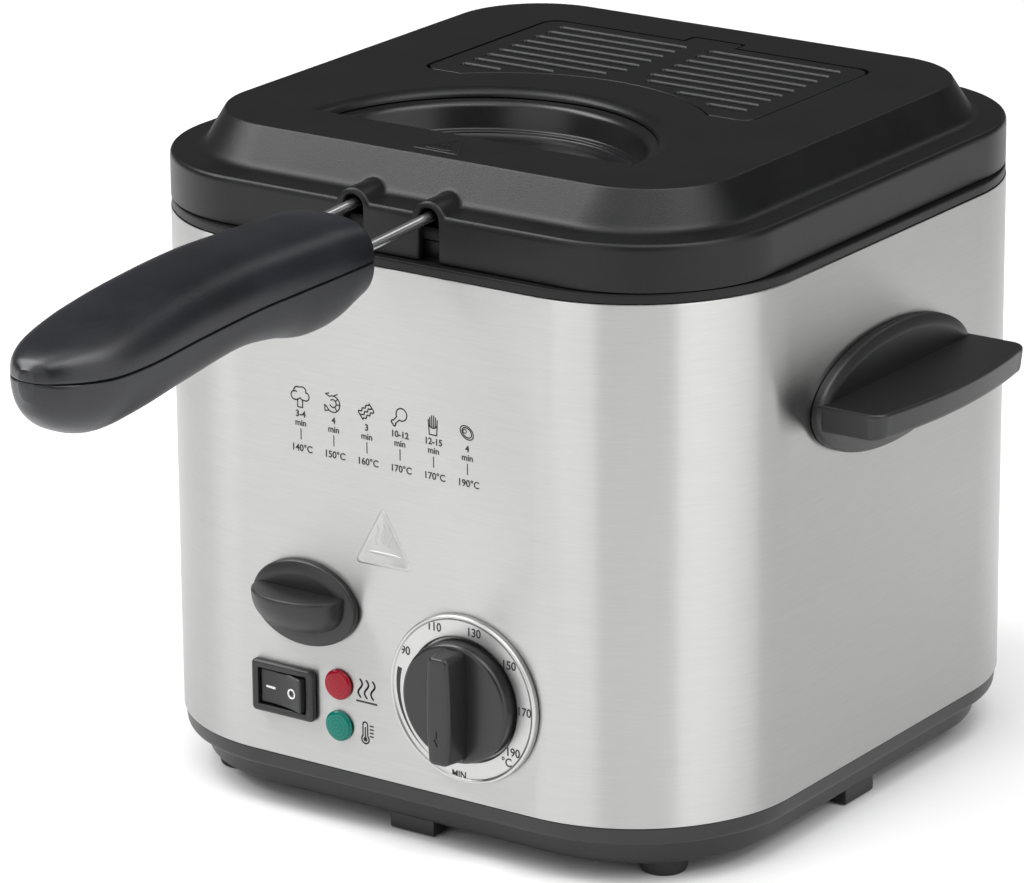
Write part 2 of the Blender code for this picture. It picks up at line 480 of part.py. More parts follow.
def grip_rings(sign, inset=0.0, over=0.0, squareness=2.3, n=8):
    """Half sections of the grip above (+1) or below (-1) the parting line."""
    rings = []
    for y, a, z, up, down in STATIONS:
        a, h = a - inset, (up if sign > 0 else down) - inset
        if inset and (a < 2.5 or h < 2.5 or y > HANDLE_Y0 - 1.9):
            continue
        z = z + sign * GAP / 2
        ring = [(a, y, z - sign * over), (-a, y, z - sign * over)] if over else []
        for k in range(n + 1):
            t = pi - pi * k / n
            c, s = cos(t), sin(t)
            power = 2 / (squareness if sign < 0 else 2.8)
            x = a * (1 if c > 0 else -1) * abs(c) ** power
            ring.append((x, y, z + sign * h * s ** power if 0 < k < n else z))
        rings.append(ring)
    return rings


for name, sign in (("grip_upper", 1), ("grip_lower", -1)):
    shell = skin(name, grip_rings(sign), "handle", GRIP_BLACK)
    cut(shell, skin("cut_" + name, grip_rings(sign, 2.3, 4.0), "handle", GRIP_BLACK))
    if sign > 0:
        for end, x in (("left", -ROD_X), ("right", ROD_X)):
            cut(shell, skin("cut_rod_hole_" + end, turned([(1.9, -128.0), (1.9, -146.0)], (x, rod_z(-136.5)), "Y", 12), "handle", GRIP_BLACK))
        join(shell, skin("grip_boss", turned([(4.0, 184.6), (4.0, 201.8)], (0.0, -205.0), "Z", 12), "handle", GRIP_BLACK))
        cut(shell, skin("cut_grip_boss", turned([(1.9, 180.0), (1.9, 196.0)], (0.0, -205.0), "Z", 12), "handle", GRIP_BLACK))
    else:
        join(shell, skin("grip_screw_seat", turned([(5.6, 173.2), (5.6, 184.2)], (0.0, -205.0), "Z", 12), "handle", GRIP_BLACK))
        cut(shell, skin("cut_screw_well", turned([(3.6, 165.0), (3.6, 178.6)], (0.0, -205.0), "Z", 12), "handle", GRIP_BLACK),
            skin("cut_screw_seat", turned([(1.9, 170.0), (1.9, 190.0)], (0.0, -205.0), "Z", 12), "handle", GRIP_BLACK))
screw("grip_screw", 175.9, 194.5, (0.0, -205.0), "Z", "handle", 3.1, 1.5, 2.2)

# ---- lid --------------------------------------------------------------------------------
lid_shell = skin("lid_shell", [
    rounded(LID_A - 1.5, LID_B - 1.5, LID_R - 1.5, LID_TOP), rounded(LID_A, LID_B, LID_R, LID_TOP - 0.9), rounded(RAISE_A, RAISE_B, RAISE_R, LEDGE_Z + 0.4),
    rounded(SKIRT_A - 1.2, SKIRT_B - 1.2, SKIRT_R - 1.2, LEDGE_Z), rounded(SKIRT_A, SKIRT_B, SKIRT_R, LEDGE_Z - 1.4), rounded(SKIRT_A, SKIRT_B, SKIRT_R, SKIRT_Z),
    rounded(SKIRT_A - 2.4, SKIRT_B - 2.4, SKIRT_R - 2.4, SKIRT_Z), rounded(SKIRT_A - 2.4, SKIRT_B - 2.4, SKIRT_R - 2.4, LEDGE_Z - LID_T),
    rounded(RAISE_A - 2.4, RAISE_B - 2.4, RAISE_R - 2.4, LEDGE_Z - LID_T + 0.4), rounded(LID_A - 2.6, LID_B - 2.6, LID_R - 2.6, LID_TOP - LID_T)], "lid", LID_BLACK)


def arch(r, z_low, y0, y1, x):
    """An upright slot shape with a round top, running along Y."""
    ring = [(r, z_low)] + [(r * cos(t), SLOT_Z + r * sin(t)) for t in (pi * k / 10 for k in range(11))] + [(-r, z_low)]
    return [[(x + u, y, v) for u, v in ring] for y in (y0, y1)]


for end, x in (("left", -ROD_X), ("right", ROD_X)):
    join(lid_shell, skin("bump_" + end, arch(5.6, 190.0, -SKIRT_B + 0.35, -87.6, x), "lid", LID_BLACK))
for end, x in (("left", -ROD_X), ("right", ROD_X)):
    cut(lid_shell, skin("cut_slot_" + end, arch(SLOT_W / 2, 170.0, -SKIRT_B - 4, -85.0, x), "lid", LID_BLACK))


def cover_outline(d, latch=True, n=8):
    """Outline of the filter cover grown by d: square back with a latch tab, hollow arc at the front."""
    w, back, front, r, corner = FILTER_W + d, FILTER_BACK + d, FILTER_FRONT - d, ARC_R - d, 5.0
    reach = sqrt(r * r - (front - ARC_Y) ** 2)
    half = [(w, front + corner)] + [(w - corner + corner * cos(t), front + corner + corner * sin(t)) for t in (radians(-30), radians(-60), radians(-90))]
    sweep = atan2(reach, front - ARC_Y)
    arc = [(r * sin(sweep * k / n), ARC_Y + r * cos(sweep * k / n)) for k in range(n, -n - 1, -1)]
    front_run = half + arc + [(-x, y) for x, y in reversed(half)]
    rear = [(-w, back - corner), (-w + corner * 0.3, back - corner * 0.3), (-w + corner, back)]
    tab = [(-9.0 - d, back), (-9.0 - d, back + 5.5), (9.0 + d, back + 5.5), (9.0 + d, back)] if latch else []
    return front_run + rear + tab + [(-x, y) for x, y in reversed(rear)]


def recess_outline(d, chord=None, n=18):
    """Half-moon outline grown by d; the straight front edge may grow by less."""
    chord = d if chord is None else chord
    y0 = RECESS_Y - chord
    arc = [((RECESS_A + d) * cos(pi * k / n), RECESS_Y + (RECESS_B + d) * sin(pi * k / n)) for k in range(1, n)]
    side = [(RECESS_A + d - 0.3, RECESS_Y + 2.0), (RECESS_A + d - 1.6, y0 + 1.2), (RECESS_A + d - 4.0, y0)]
    return [(-x, y) for x, y in side] + list(reversed(side)) + arc


cut(lid_shell,
    prism("cut_filter_opening", cover_outline(0.8), LID_TOP - 12, LID_TOP + 5, "lid", LID_BLACK),
    prism("cut_recess_opening", recess_outline(0.0), LID_TOP - 12, LID_TOP + 5, "lid", LID_BLACK))
for side, sx in (("left", -1), ("right", 1)):
    cut(lid_shell, skin("cut_trunnion_" + side, turned([(0.75, sx * (FILTER_W - 1)), (0.75, sx * (FILTER_W + 2.7))], (HINGE_Y, HINGE_Z), "X", 10), "lid", LID_BLACK))

pane_z = LID_TOP - LID_T - 0.4
skin("window_pane", [[(x, y, z) for x, y in recess_outline(d, c)] for d, c, z in (
    (-7.5, -5.0, pane_z - 13.6), (-4.0, -1.0, pane_z - 11.4), (1.4, 1.4, pane_z - 2.0), (5.5, 2.6, pane_z - 2.0), (5.5, 2.6, pane_z), (-0.4, -0.4, pane_z),
    (-5.6, -2.6, pane_z - 10.0), (-8.6, -6.0, pane_z - 11.9))], "lid", PANE)

filter_tray = skin("filter_tray", [[(x, y, z) for x, y in cover_outline(d, False)] for d, z in (
    (1.5, 190.4), (3.0, pane_z - 1.6), (6.0, pane_z - 1.6), (6.0, pane_z), (1.4, pane_z), (0.2, 192.0))], "lid", BLACK)
for i in range(7):
    cut(filter_tray, box(f"cut_tray_{i}", (-46.0 + 14.0 * i, 20.0, 188.0), (-38.0 + 14.0 * i, 58.0, 194.0), "lid", BLACK))
prism("grease_filter", cover_outline(-1.6, False), 192.6, 195.6, "lid", ALU)
prism("charcoal_filter", cover_outline(-1.6, False), 196.0, 199.4, "lid", FILTER_WOOL)

filter_cover = skin("filter_cover", [[(x, y, z) for x, y in cover_outline(d)] for d, z in ((0.0, LID_TOP - 2.2), (0.0, LID_TOP - 0.8), (-0.8, LID_TOP))], "filter_cover_hinge", LID_BLACK)
for side, sx in (("left", -1), ("right", 1)):
    join(filter_cover, skin("trunnion_" + side, turned([(0.5, sx * (FILTER_W - 3)), (0.5, sx * (FILTER_W + 2.2))], (HINGE_Y, HINGE_Z), "X", 10), "filter_cover_hinge", LID_BLACK))
SLOT_PITCH, SLOT_BACK = 6.6, 58.0
for i in range(9):
    y = SLOT_BACK - SLOT_PITCH * i
    inner_x = 4.2 if i < 6 else (7.5, 22.3, 37.2)[i - 6]
    for side, sx in (("left", -1), ("right", 1)):
        x0, x1 = sorted((sx * inner_x, sx * 51.2))
        cut(filter_cover, box(f"cut_grille_{side}_{i}", (x0, y - 1.2, LID_TOP - 6), (x1, y + 1.2, LID_TOP + 4), "filter_cover_hinge", LID_BLACK))
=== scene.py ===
from math import atan2, cos, degrees, pi, radians, sin, sqrt

import bmesh
import bpy
import numpy as np
from mathutils import Matrix, Vector


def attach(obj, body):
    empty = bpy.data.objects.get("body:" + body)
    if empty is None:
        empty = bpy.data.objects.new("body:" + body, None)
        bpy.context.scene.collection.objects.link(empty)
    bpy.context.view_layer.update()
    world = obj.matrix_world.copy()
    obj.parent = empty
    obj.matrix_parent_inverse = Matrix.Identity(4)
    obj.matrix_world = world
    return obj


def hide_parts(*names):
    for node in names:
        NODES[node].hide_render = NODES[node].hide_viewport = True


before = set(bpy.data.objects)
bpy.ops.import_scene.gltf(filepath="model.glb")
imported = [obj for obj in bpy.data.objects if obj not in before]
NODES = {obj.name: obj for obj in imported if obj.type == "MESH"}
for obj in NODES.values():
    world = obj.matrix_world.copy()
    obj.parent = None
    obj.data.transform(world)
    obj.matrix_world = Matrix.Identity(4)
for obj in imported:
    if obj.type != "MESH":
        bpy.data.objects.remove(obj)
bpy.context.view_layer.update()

YS = 79.2  # the housing's centre lies this far behind the model's origin, mm
SC = bpy.context.scene


# =========================================================================================
# mesh helpers: everything is in mm in the housing's coordinates (y = 0 at the body's centre)
# =========================================================================================
def P(p):
    return (p[0] / 1000.0, (p[1] + YS) / 1000.0, p[2] / 1000.0)


def mesh_object(name, verts, faces, mat, angle=35.0, recalc=True):
    mesh = bpy.data.meshes.new(name)
    data = bmesh.new()
    vs = [data.verts.new(P(v)) for v in verts]
    for f in faces:
        try:
            data.faces.new([vs[i] for i in f])
        except ValueError:
            pass
    if recalc:
        bmesh.ops.recalc_face_normals(data, faces=data.faces)
    data.to_mesh(mesh)
    data.free()
    mesh.shade_smooth()
    mesh.set_sharp_from_angle(angle=radians(angle))
    made = bpy.data.objects.new(name, mesh)
    SC.collection.objects.link(made)
    if mat:
        mesh.materials.append(mat)
    return made


def skin(name, rings, mat, loop=False, angle=35.0):
    count = len(rings[0])
    verts = [p for ring in rings for p in ring]
    faces = []
    pairs = [(i, i + 1) for i in range(len(rings) - 1)]
    if loop:
        pairs.append((len(rings) - 1, 0))
    for a, b in pairs:
        for i in range(count):
            j = (i + 1) % count
            faces.append((a * count + i, a * count + j, b * count + j, b * count + i))
    if not loop:
        faces.append(tuple(range(count)))
        faces.append(tuple(range((len(rings) - 1) * count, len(rings) * count)))
    return mesh_object(name, verts, faces, mat, angle)


def soften(points, cuts, steps=5, closed=False):
    """Rounds the corners of a polyline in any number of dimensions; cuts gives the length taken off at each corner."""
    pts = [np.array(p, float) for p in points]
    out, n = [], len(pts)
    for i, p in enumerate(pts):
        c = cuts[i] if isinstance(cuts, (list, tuple)) else cuts
        if (not closed and i in (0, n - 1)) or c <= 0:
            out.append(p)
            continue
        a, b = pts[i - 1] - p, pts[(i + 1) % n] - p
        la, lb = np.linalg.norm(a), np.linalg.norm(b)
        c = min(c, la * 0.49, lb * 0.49)
        p0, p2 = p + a / la * c, p + b / lb * c
        for k in range(steps + 1):
            t = k / steps
            out.append((1 - t) ** 2 * p0 + 2 * t * (1 - t) * p + t * t * p2)
    return out


def rr(a, b, r, z, n=28, front=None, sub=0):
    """A rounded rectangle, anticlockwise seen from above. front gives extra x stations for the front edge."""
    ring = []
    corners = ((1, 1, 0), (-1, 1, 90), (-1, -1, 180), (1, -1, 270))
    for k, (sx, sy, start) in enumerate(corners):
        for i in range(n + 1):
            t = radians(start + 90 * i / n)
            ring.append((sx * (a - r) + r * cos(t), sy * (b - r) + r * sin(t), z))
        if k == 2 and front:
            ring.extend((x, -b, z) for x in front)
        elif sub:
            x0, y0, _ = ring[-1]
            nx, ny, s2 = corners[(k + 1) % 4]
            t = radians(s2)
            x1, y1 = nx * (a - r) + r * cos(t), ny * (b - r) + r * sin(t)
            ring.extend((x0 + (x1 - x0) * m / (sub + 1), y0 + (y1 - y0) * m / (sub + 1), z) for m in range(1, sub + 1))
    return ring


def loft(name, stations, cuts, mat, loop=False, n=28, angle=35.0, steps=5, **more):
    """A loft over (a, b, r, z) stations whose corners are rounded."""
    rows = soften(stations, cuts, steps, closed=loop)
    return skin(name, [rr(a, b, r, z, n, **more) for a, b, r, z in rows], mat, loop, angle)


def turned(name, profile, centre, mat, axis="Y", n=96, loop=False, cuts=0.0, steps=4, angle=35.0):
    rows = soften(profile, cuts, steps, closed=loop)
    rings = []
    for r, s in rows:
        ring = []
        for i in range(n):
            t = 2 * pi * i / n
            u, v = r * cos(t), r * sin(t)
            ring.append((centre[0] + u, s, centre[1] + v) if axis == "Y" else (s, centre[0] + u, centre[1] + v) if axis == "X" else (centre[0] + u, centre[1] + v, s))
        rings.append(ring)
    return skin(name, rings, mat, loop, angle)


def bake(obj):
    """Applies an object's modifiers."""
    graph = bpy.context.evaluated_depsgraph_get()
    mesh = bpy.data.meshes.new_from_object(obj.evaluated_get(graph), depsgraph=graph)
    obj.modifiers.clear()
    obj.data = mesh
    return obj


def boolean(obj, others, operation="DIFFERENCE", angle=35.0, keep=False):
    for other in others:
        m = obj.modifiers.new("b", "BOOLEAN")
        m.operation, m.solver, m.object = operation, "EXACT", other
    bpy.context.view_layer.update()
    bake(obj)
    if not keep:
        for other in others:
            bpy.data.objects.remove(other, do_unlink=True)
    obj.data.shade_smooth()
    obj.data.set_sharp_from_angle(angle=radians(angle))
    return obj


def bevel(obj, width, segments=3, angle=40.0, smooth=35.0):
    m = obj.modifiers.new("bevel", "BEVEL")
    m.width, m.segments, m.limit_method, m.angle_limit = width / 1000.0, segments, "ANGLE", radians(angle)
    m.harden_normals = False
    bpy.context.view_layer.update()
    bake(obj)
    obj.data.shade_smooth()
    obj.data.set_sharp_from_angle(angle=radians(smooth))
    return obj


def weighted(obj):
    m = obj.modifiers.new("w", "WEIGHTED_NORMAL")
    m.keep_sharp, m.weight = True, 90
    bpy.context.view_layer.update()
    return bake(obj)


def prism(name, outline, z0, z1, mat, angle=35.0):
    return skin(name, [[(x, y, z) for x, y in outline] for z in (z0, z1)], mat, angle=angle)


def block(name, low, high, mat):
    (x0, y0, z0), (x1, y1, z1) = low, high
    return skin(name, [[(x0, y0, z), (x1, y0, z), (x1, y1, z), (x0, y1, z)] for z in (z0, z1)], mat)


def merged(name, objs, mat=None):
    """Joins mesh objects into one."""
    data = bmesh.new()
    mats = []
    for o in objs:
        for m in o.data.materials:
            if m not in mats:
                mats.append(m)
    for o in objs:
        before = len(data.faces)
        data.from_mesh(o.data)
        data.faces.ensure_lookup_table()
        for f in data.faces[before:]:
            f.material_index = mats.index(o.data.materials[f.material_index]) if o.data.materials else 0
    mesh = bpy.data.meshes.new(name)
    data.to_mesh(mesh)
    data.free()
    for m in mats:
        mesh.materials.append(m)
    for o in objs:
        bpy.data.objects.remove(o, do_unlink=True)
    made = bpy.data.objects.new(name, mesh)
    SC.collection.objects.link(made)
    return made


def put(obj, body, slot=None, *nodes):
    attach(obj, body)
    if nodes:
        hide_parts(*nodes)
    return obj


# =========================================================================================
# materials
# =========================================================================================
class Nodes:
    """A short way to write node trees."""

    def __init__(self, name):
        self.mat = bpy.data.materials.new(name)
        self.mat.use_nodes = True
        self.tree = self.mat.node_tree
        self.shader = self.tree.nodes["Principled BSDF"]

    def add(self, kind, **values):
        node = self.tree.nodes.new(kind)
        for key, value in values.items():
            if key in node.inputs:
                if hasattr(value, "node"):
                    self.tree.links.new(value, node.inputs[key])
                else:
                    node.inputs[key].default_value = value
            else:
                setattr(node, key, value)
        return node

    def link(self, a, b):
        self.tree.links.new(a, b)

    def coords(self, scale=(1, 1, 1)):
        tc = self.add("ShaderNodeTexCoord")
        mp = self.add("ShaderNodeMapping")
        mp.inputs["Scale"].default_value = scale
        self.link(tc.outputs["Object"], mp.inputs["Vector"])
        return mp.outputs["Vector"]

    def noise(self, scale, vector=None, detail=2.0, rough=0.5, size=(1, 1, 1)):
        node = self.add("ShaderNodeTexNoise")
        node.inputs["Scale"].default_value = scale
        node.inputs["Detail"].default_value = detail
        node.inputs["Roughness"].default_value = rough
        self.link(vector if vector is not None else self.coords(size), node.inputs["Vector"])
        return node.outputs["Fac"]

    def ramp(self, fac, stops):
        node = self.add("ShaderNodeValToRGB")
        el = node.color_ramp.elements
        while len(el) < len(stops):
            el.new(0.5)
        for e, (at, value) in zip(el, stops):
            e.position = at
            e.color = (*value, 1.0) if hasattr(value, "__len__") else (value, value, value, 1.0)
        self.link(fac, node.inputs["Fac"])
        return node.outputs["Color"]

    def span(self, fac, low, high):
        node = self.add("ShaderNodeMapRange")
        node.inputs["To Min"].default_value = low
        node.inputs["To Max"].default_value = high
        self.link(fac, node.inputs["Value"])
        return node.outputs["Result"]

    def math(self, op, a, b):
        node = self.add("ShaderNodeMath", operation=op)
        for i, v in enumerate((a, b)):
            if hasattr(v, "node"):
                self.link(v, node.inputs[i])
            else:
                node.inputs[i].default_value = v
        return node.outputs[0]

    def bump(self, height, distance, strength=1.0, normal=None):
        node = self.add("ShaderNodeBump")
        node.inputs["Strength"].default_value = strength
        node.inputs["Distance"].default_value = distance
        self.link(height, node.inputs["Height"])
        if normal is not None:
            self.link(normal, node.inputs["Normal"])
        return node.outputs["Normal"]

    def set(self, **values):
        for key, value in values.items():
            socket = self.shader.inputs[key.replace("_", " ")]
            if hasattr(value, "node"):
                self.link(value, socket)
            else:
                socket.default_value = (*value, 1.0) if hasattr(value, "__len__") and len(value) == 3 else value
        return self.mat


def steel_material():
    k = Nodes("brushed_steel")
    fine = k.noise(1.0, k.coords((120, 120, 9000)), 3.0, 0.6)
    mid = k.noise(1.0, k.coords((60, 60, 2600)), 2.0, 0.6)
    broad = k.noise(1.0, k.coords((14, 14, 60)), 2.0, 0.5)
    streak = k.math("ADD", k.math("MULTIPLY", fine, 0.55), k.math("MULTIPLY", mid, 0.45))
    colour = k.ramp(streak, [(0.3, (0.43, 0.429, 0.426)), (0.7, (0.485, 0.484, 0.48))])
    rough = k.math("ADD", k.span(streak, 0.30, 0.36), k.span(broad, -0.01, 0.01))
    k.set(Base_Color=colour, Metallic=1.0, Roughness=rough, Normal=k.bump(streak, 0.000008, 0.25))
    k.shader.inputs["Anisotropic"].default_value = 0.97
    k.shader.inputs["Anisotropic Rotation"].default_value = 0.25
    return k.mat


def satin_ring_material(centre):
    """Metal brushed in circles round the dial's centre."""
    k = Nodes("spun_aluminium")
    tc = k.add("ShaderNodeTexCoord")
    sub = k.add("ShaderNodeVectorMath", operation="SUBTRACT")
    k.link(tc.outputs["Object"], sub.inputs[0])
    sub.inputs[1].default_value = P(centre)
    mul = k.add("ShaderNodeVectorMath", operation="MULTIPLY")
    k.link(sub.outputs[0], mul.inputs[0])
    mul.inputs[1].default_value = (1, 0, 1)
    length = k.add("ShaderNodeVectorMath", operation="LENGTH")
    k.link(mul.outputs[0], length.inputs[0])
    noise = k.add("ShaderNodeTexNoise")
    noise.noise_dimensions = "1D"
    noise.inputs["Scale"].default_value = 5200
    noise.inputs["Detail"].default_value = 2
    k.link(length.outputs["Value"], noise.inputs["W"])
    n = noise.outputs["Fac"]
    k.set(Base_Color=k.ramp(n, [(0.3, (0.47, 0.47, 0.467)), (0.7, (0.52, 0.52, 0.516))]), Metallic=1.0, Roughness=k.span(n, 0.36, 0.42), Normal=k.bump(n, 0.000004, 0.2))
    return k.mat


def plastic(name, colour, rough=0.45, grain=0.00002, scale=2600.0, vary=0.12, coat=0.0, specular=0.5):
    """Moulded plastic: a fine spark-eroded grain, slight tone variation and faint rubbed patches."""
    k = Nodes(name)
    fine = k.noise(scale, detail=3.0, rough=0.6)
    wide = k.noise(38.0, detail=3.0, rough=0.6)
    low = tuple(c * (1 - vary) for c in colour)
    high = tuple(c * (1 + vary) for c in colour)
    k.set(Base_Color=k.ramp(k.math("ADD", k.math("MULTIPLY", fine, 0.5), k.math("MULTIPLY", wide, 0.5)), [(0.35, low), (0.65, high)]),
          Roughness=k.math("ADD", k.span(wide, rough - 0.05, rough + 0.05), k.span(fine, -0.03, 0.03)),
          Normal=k.bump(fine, grain, 0.5), Coat_Weight=coat)
    k.shader.inputs["Specular IOR Level"].default_value = specular
    return k.mat


def metal(name, colour, rough, vary=0.06, scale=900.0, bump=0.00001, aniso=0.0):
    k = Nodes(name)
    n = k.noise(scale, detail=3.0)
    w = k.noise(45.0, detail=2.0)
    k.set(Base_Color=k.ramp(n, [(0.3, tuple(c * (1 - vary) for c in colour)), (0.7, tuple(min(1, c * (1 + vary)) for c in colour))]),
          Metallic=1.0, Roughness=k.math("ADD", k.span(w, rough - 0.04, rough + 0.04), k.span(n, -0.02, 0.02)), Normal=k.bump(n, bump, 0.3))
    return k.mat


def lens(name, colour, centre):
    """Clear moulded lens with concentric steps."""
    k = Nodes(name)
    tc = k.add("ShaderNodeTexCoord")
    sub = k.add("ShaderNodeVectorMath", operation="SUBTRACT")
    k.link(tc.outputs["Object"], sub.inputs[0])
    sub.inputs[1].default_value = P(centre)
    mul = k.add("ShaderNodeVectorMath", operation="MULTIPLY")
    k.link(sub.outputs[0], mul.inputs[0])
    mul.inputs[1].default_value = (1, 0, 1)
    length = k.add("ShaderNodeVectorMath", operation="LENGTH")
    k.link(mul.outputs[0], length.inputs[0])
    wave = k.math("SINE", k.math("MULTIPLY", length.outputs["Value"], 5600.0), 0.0)
    tone = k.span(wave, 0.0, 1.0)
    k.set(Base_Color=k.ramp(tone, [(0.2, tuple(c * 0.78 for c in colour)), (0.8, tuple(min(1, c * 1.15) for c in colour))]),
          Roughness=k.span(k.noise(800.0), 0.06, 0.16), Normal=k.bump(tone, 0.00005, 0.4), Transmission_Weight=0.1)
    k.shader.inputs["Specular IOR Level"].default_value = 0.25
    k.shader.inputs["Emission Color"].default_value = (*colour, 1.0)
    k.shader.inputs["Emission Strength"].default_value = 0.05
    return k.mat


STEEL = steel_material()
LID = plastic("lid_plastic", (0.0034, 0.0035, 0.0037), 0.38, 0.0001, 2300.0, 0.4, specular=0.3)
LID_TOPM = LID
BLACK = plastic("black_plastic", (0.0075, 0.0076, 0.008), 0.4, 0.00002, 2600.0, 0.1)
BASE = plastic("base_plastic", (0.0085, 0.0086, 0.009), 0.4, 0.000012, 2600.0, 0.1)
GRIP = plastic("grip_plastic", (0.0072, 0.0076, 0.0108), 0.34, 0.00011, 2300.0, 0.5)
KNOB = plastic("knob_plastic", (0.0085, 0.0085, 0.009), 0.3, 0.00001, 3200.0, 0.08)
RUBBER = plastic("foot_rubber", (0.016, 0.016, 0.016), 0.75, 0.00003, 1500.0, 0.2)
SEAL = plastic("seal_rubber", (0.005, 0.005, 0.005), 0.75, 0.00002, 1500.0, 0.08)
INK = plastic("printed_ink", (0.012, 0.012, 0.012), 0.5, 0.000004, 4000.0, 0.2)
WHITE_INK = plastic("white_marking", (0.72, 0.72, 0.72), 0.5, 0.000004, 4000.0, 0.05)
CHROME = metal("chrome_wire", (0.80, 0.80, 0.81), 0.26, 0.04, 700.0)
BASKET_WIRE = metal("basket_wire", (0.74, 0.74, 0.74), 0.22, 0.06, 900.0)
ALU = metal("aluminium", (0.72, 0.72, 0.72), 0.4, 0.06, 500.0, 0.00003)
ZINC = metal("zinc_screw", (0.62, 0.63, 0.66), 0.32, 0.08)
BRASS = metal("brass", (0.70, 0.53, 0.27), 0.3, 0.08)
SHEATH = metal("heater_sheath", (0.17, 0.15, 0.14), 0.5, 0.2, 300.0, 0.00004)
POT = plastic("pot_coating", (0.022, 0.022, 0.023), 0.3, 0.00003, 900.0, 0.35, coat=0.25)
CERAMIC = plastic("ceramic", (0.66, 0.62, 0.55), 0.45, 0.00003, 900.0, 0.08)
BOARD = plastic("board", (0.22, 0.16, 0.06), 0.5, 0.00002, 1200.0, 0.15)
WOOL = plastic("filter_wool", (0.022, 0.022, 0.024), 0.95, 0.0004, 700.0, 0.6)
PANE = plastic("smoked_window", (0.007, 0.007, 0.008), 0.3, 0.000004, 500.0, 0.1, specular=0.35)
PANE.node_tree.nodes["Principled BSDF"].inputs["Transmission Weight"].default_value = 0.35
RED = lens("red_lens", (0.31, 0.003, 0.016), (-18.6, -108, 46.5))
GREEN = lens("green_lens", (0.0, 0.17, 0.13), (-18.6, -108, 33.5))
SATIN = satin_ring_material((27.1, -108, 51.7))

# =========================================================================================
# shapes shared with the solid model
# =========================================================================================
BODY = (104.4, 106.7, 53.5)
FRONT = -106.7
F = FRONT - 0.3
DIAL = (27.1, 51.7)
LID_TOP, LEDGE = 206.4, 194.9
SLOT_CENTRE = 193.1
N = 40


def rod_z(y):
    return 193.7 + (y + 105.0) * 0.0524


def grown(base, d):
    return (base[0] + d, base[1] + d, base[2] + d)


def smooth_max(a, b, k):
    h = max(0.0, min(1.0, 0.5 + 0.5 * (a - b) / k))
    return b + (a - b) * h + k * h * (1 - h)


def cyl_y(name, x, z, r, y0, y1, n=48, mat=None):
    return skin(name, [[(x + r * cos(2 * pi * i / n), y, z + r * sin(2 * pi * i / n)) for i in range(n)] for y in (y0, y1)], mat)


# ---- steel wrap: rolled edges at the top and at the bottom -------------------------------
wrap = loft("housing_wrap", [(*grown(BODY, 0), 19.5), (*grown(BODY, 0), 177.4), (*grown(BODY, -0.8), 177.4), (*grown(BODY, -0.8), 19.5)],
            [0.35, 0.35, 0.2, 0.2], STEEL, loop=True, n=64, steps=3)
boolean(wrap, [
    cyl_y("c1", DIAL[0], DIAL[1], 9.0, FRONT - 5, FRONT + 6), block("c2", (-47.9, FRONT - 5, 34.0), (-28.1, FRONT + 6, 47.8), None),
    cyl_y("c3", -18.6, 46.5, 4.4, FRONT - 5, FRONT + 6), cyl_y("c4", -18.6, 33.5, 4.4, FRONT - 5, FRONT + 6), cyl_y("c5", 0.0, 40.0, 7.0, 100, 112)])
put(weighted(wrap), "housing", "steel", "housing_shell")

# ---- base -------------------------------------------------------------------------------
base = loft("base_moulding", [
    (95.0, 95.7, 42.8, 5.1), (97.3, 98.0, 45.1, 5.4), (98.6, 99.6, 46.4, 13.2), (103.4, 105.7, 52.5, 14.1), (104.0, 106.3, 53.1, 19.2),
    (102.8, 105.1, 51.9, 19.2), (102.8, 105.1, 51.9, 25.5), (100.6, 102.9, 49.7, 25.5), (100.6, 102.9, 49.7, 17.0), (96.0, 97.0, 43.8, 14.0), (94.6, 95.4, 42.6, 7.7)],
    [0, 2.2, 1.6, 1.6, 0.3, 0, 0.3, 0.3, 0, 0, 0], BASE, n=N, steps=5)
vents = [block("v%d" % i, (-34.5 + 16 * i, -32, 3), (-29.5 + 16 * i, 32, 10), None) for i in range(5)]
wells = [turned("w%d" % i, [(4.2, 3.0), (4.2, 9.5)], xy, None, "Z", 32) for i, xy in enumerate(((-62, -62), (62, -62), (-62, 62), (62, 62)))]
boolean(base, [merged("vents", vents + wells)])
tabs = []
for i, (x0, y0, x1, y1) in enumerate(((-8, -97, 8, -90.5), (-8, 90.5, 8, 97), (-96.4, -8, -90, 8), (90, -8, 96.4, 8))):
    tabs.append(bevel(block("tab%d" % i, (x0, y0, 0.4), (x1, y1, 6.6), BASE), 0.6, 2))
put(weighted(merged("base_visual", [base] + tabs)), "housing", "black_plastic", "base_tray")
for name, sx, sy in (("front_left", -1, -1), ("front_right", 1, -1), ("rear_left", -1, 1), ("rear_right", 1, 1)):
    put(turned("foot_pad_" + name, [(0.01, 0.0), (6.8, 0.0), (7.8, 4.8), (0.01, 4.8)], (sx * 77.0, sy * 78.0), RUBBER, "Z", 64, cuts=[0, 0.7, 0, 0]), "housing", "foot_rubber", "rubber_foot_" + name)

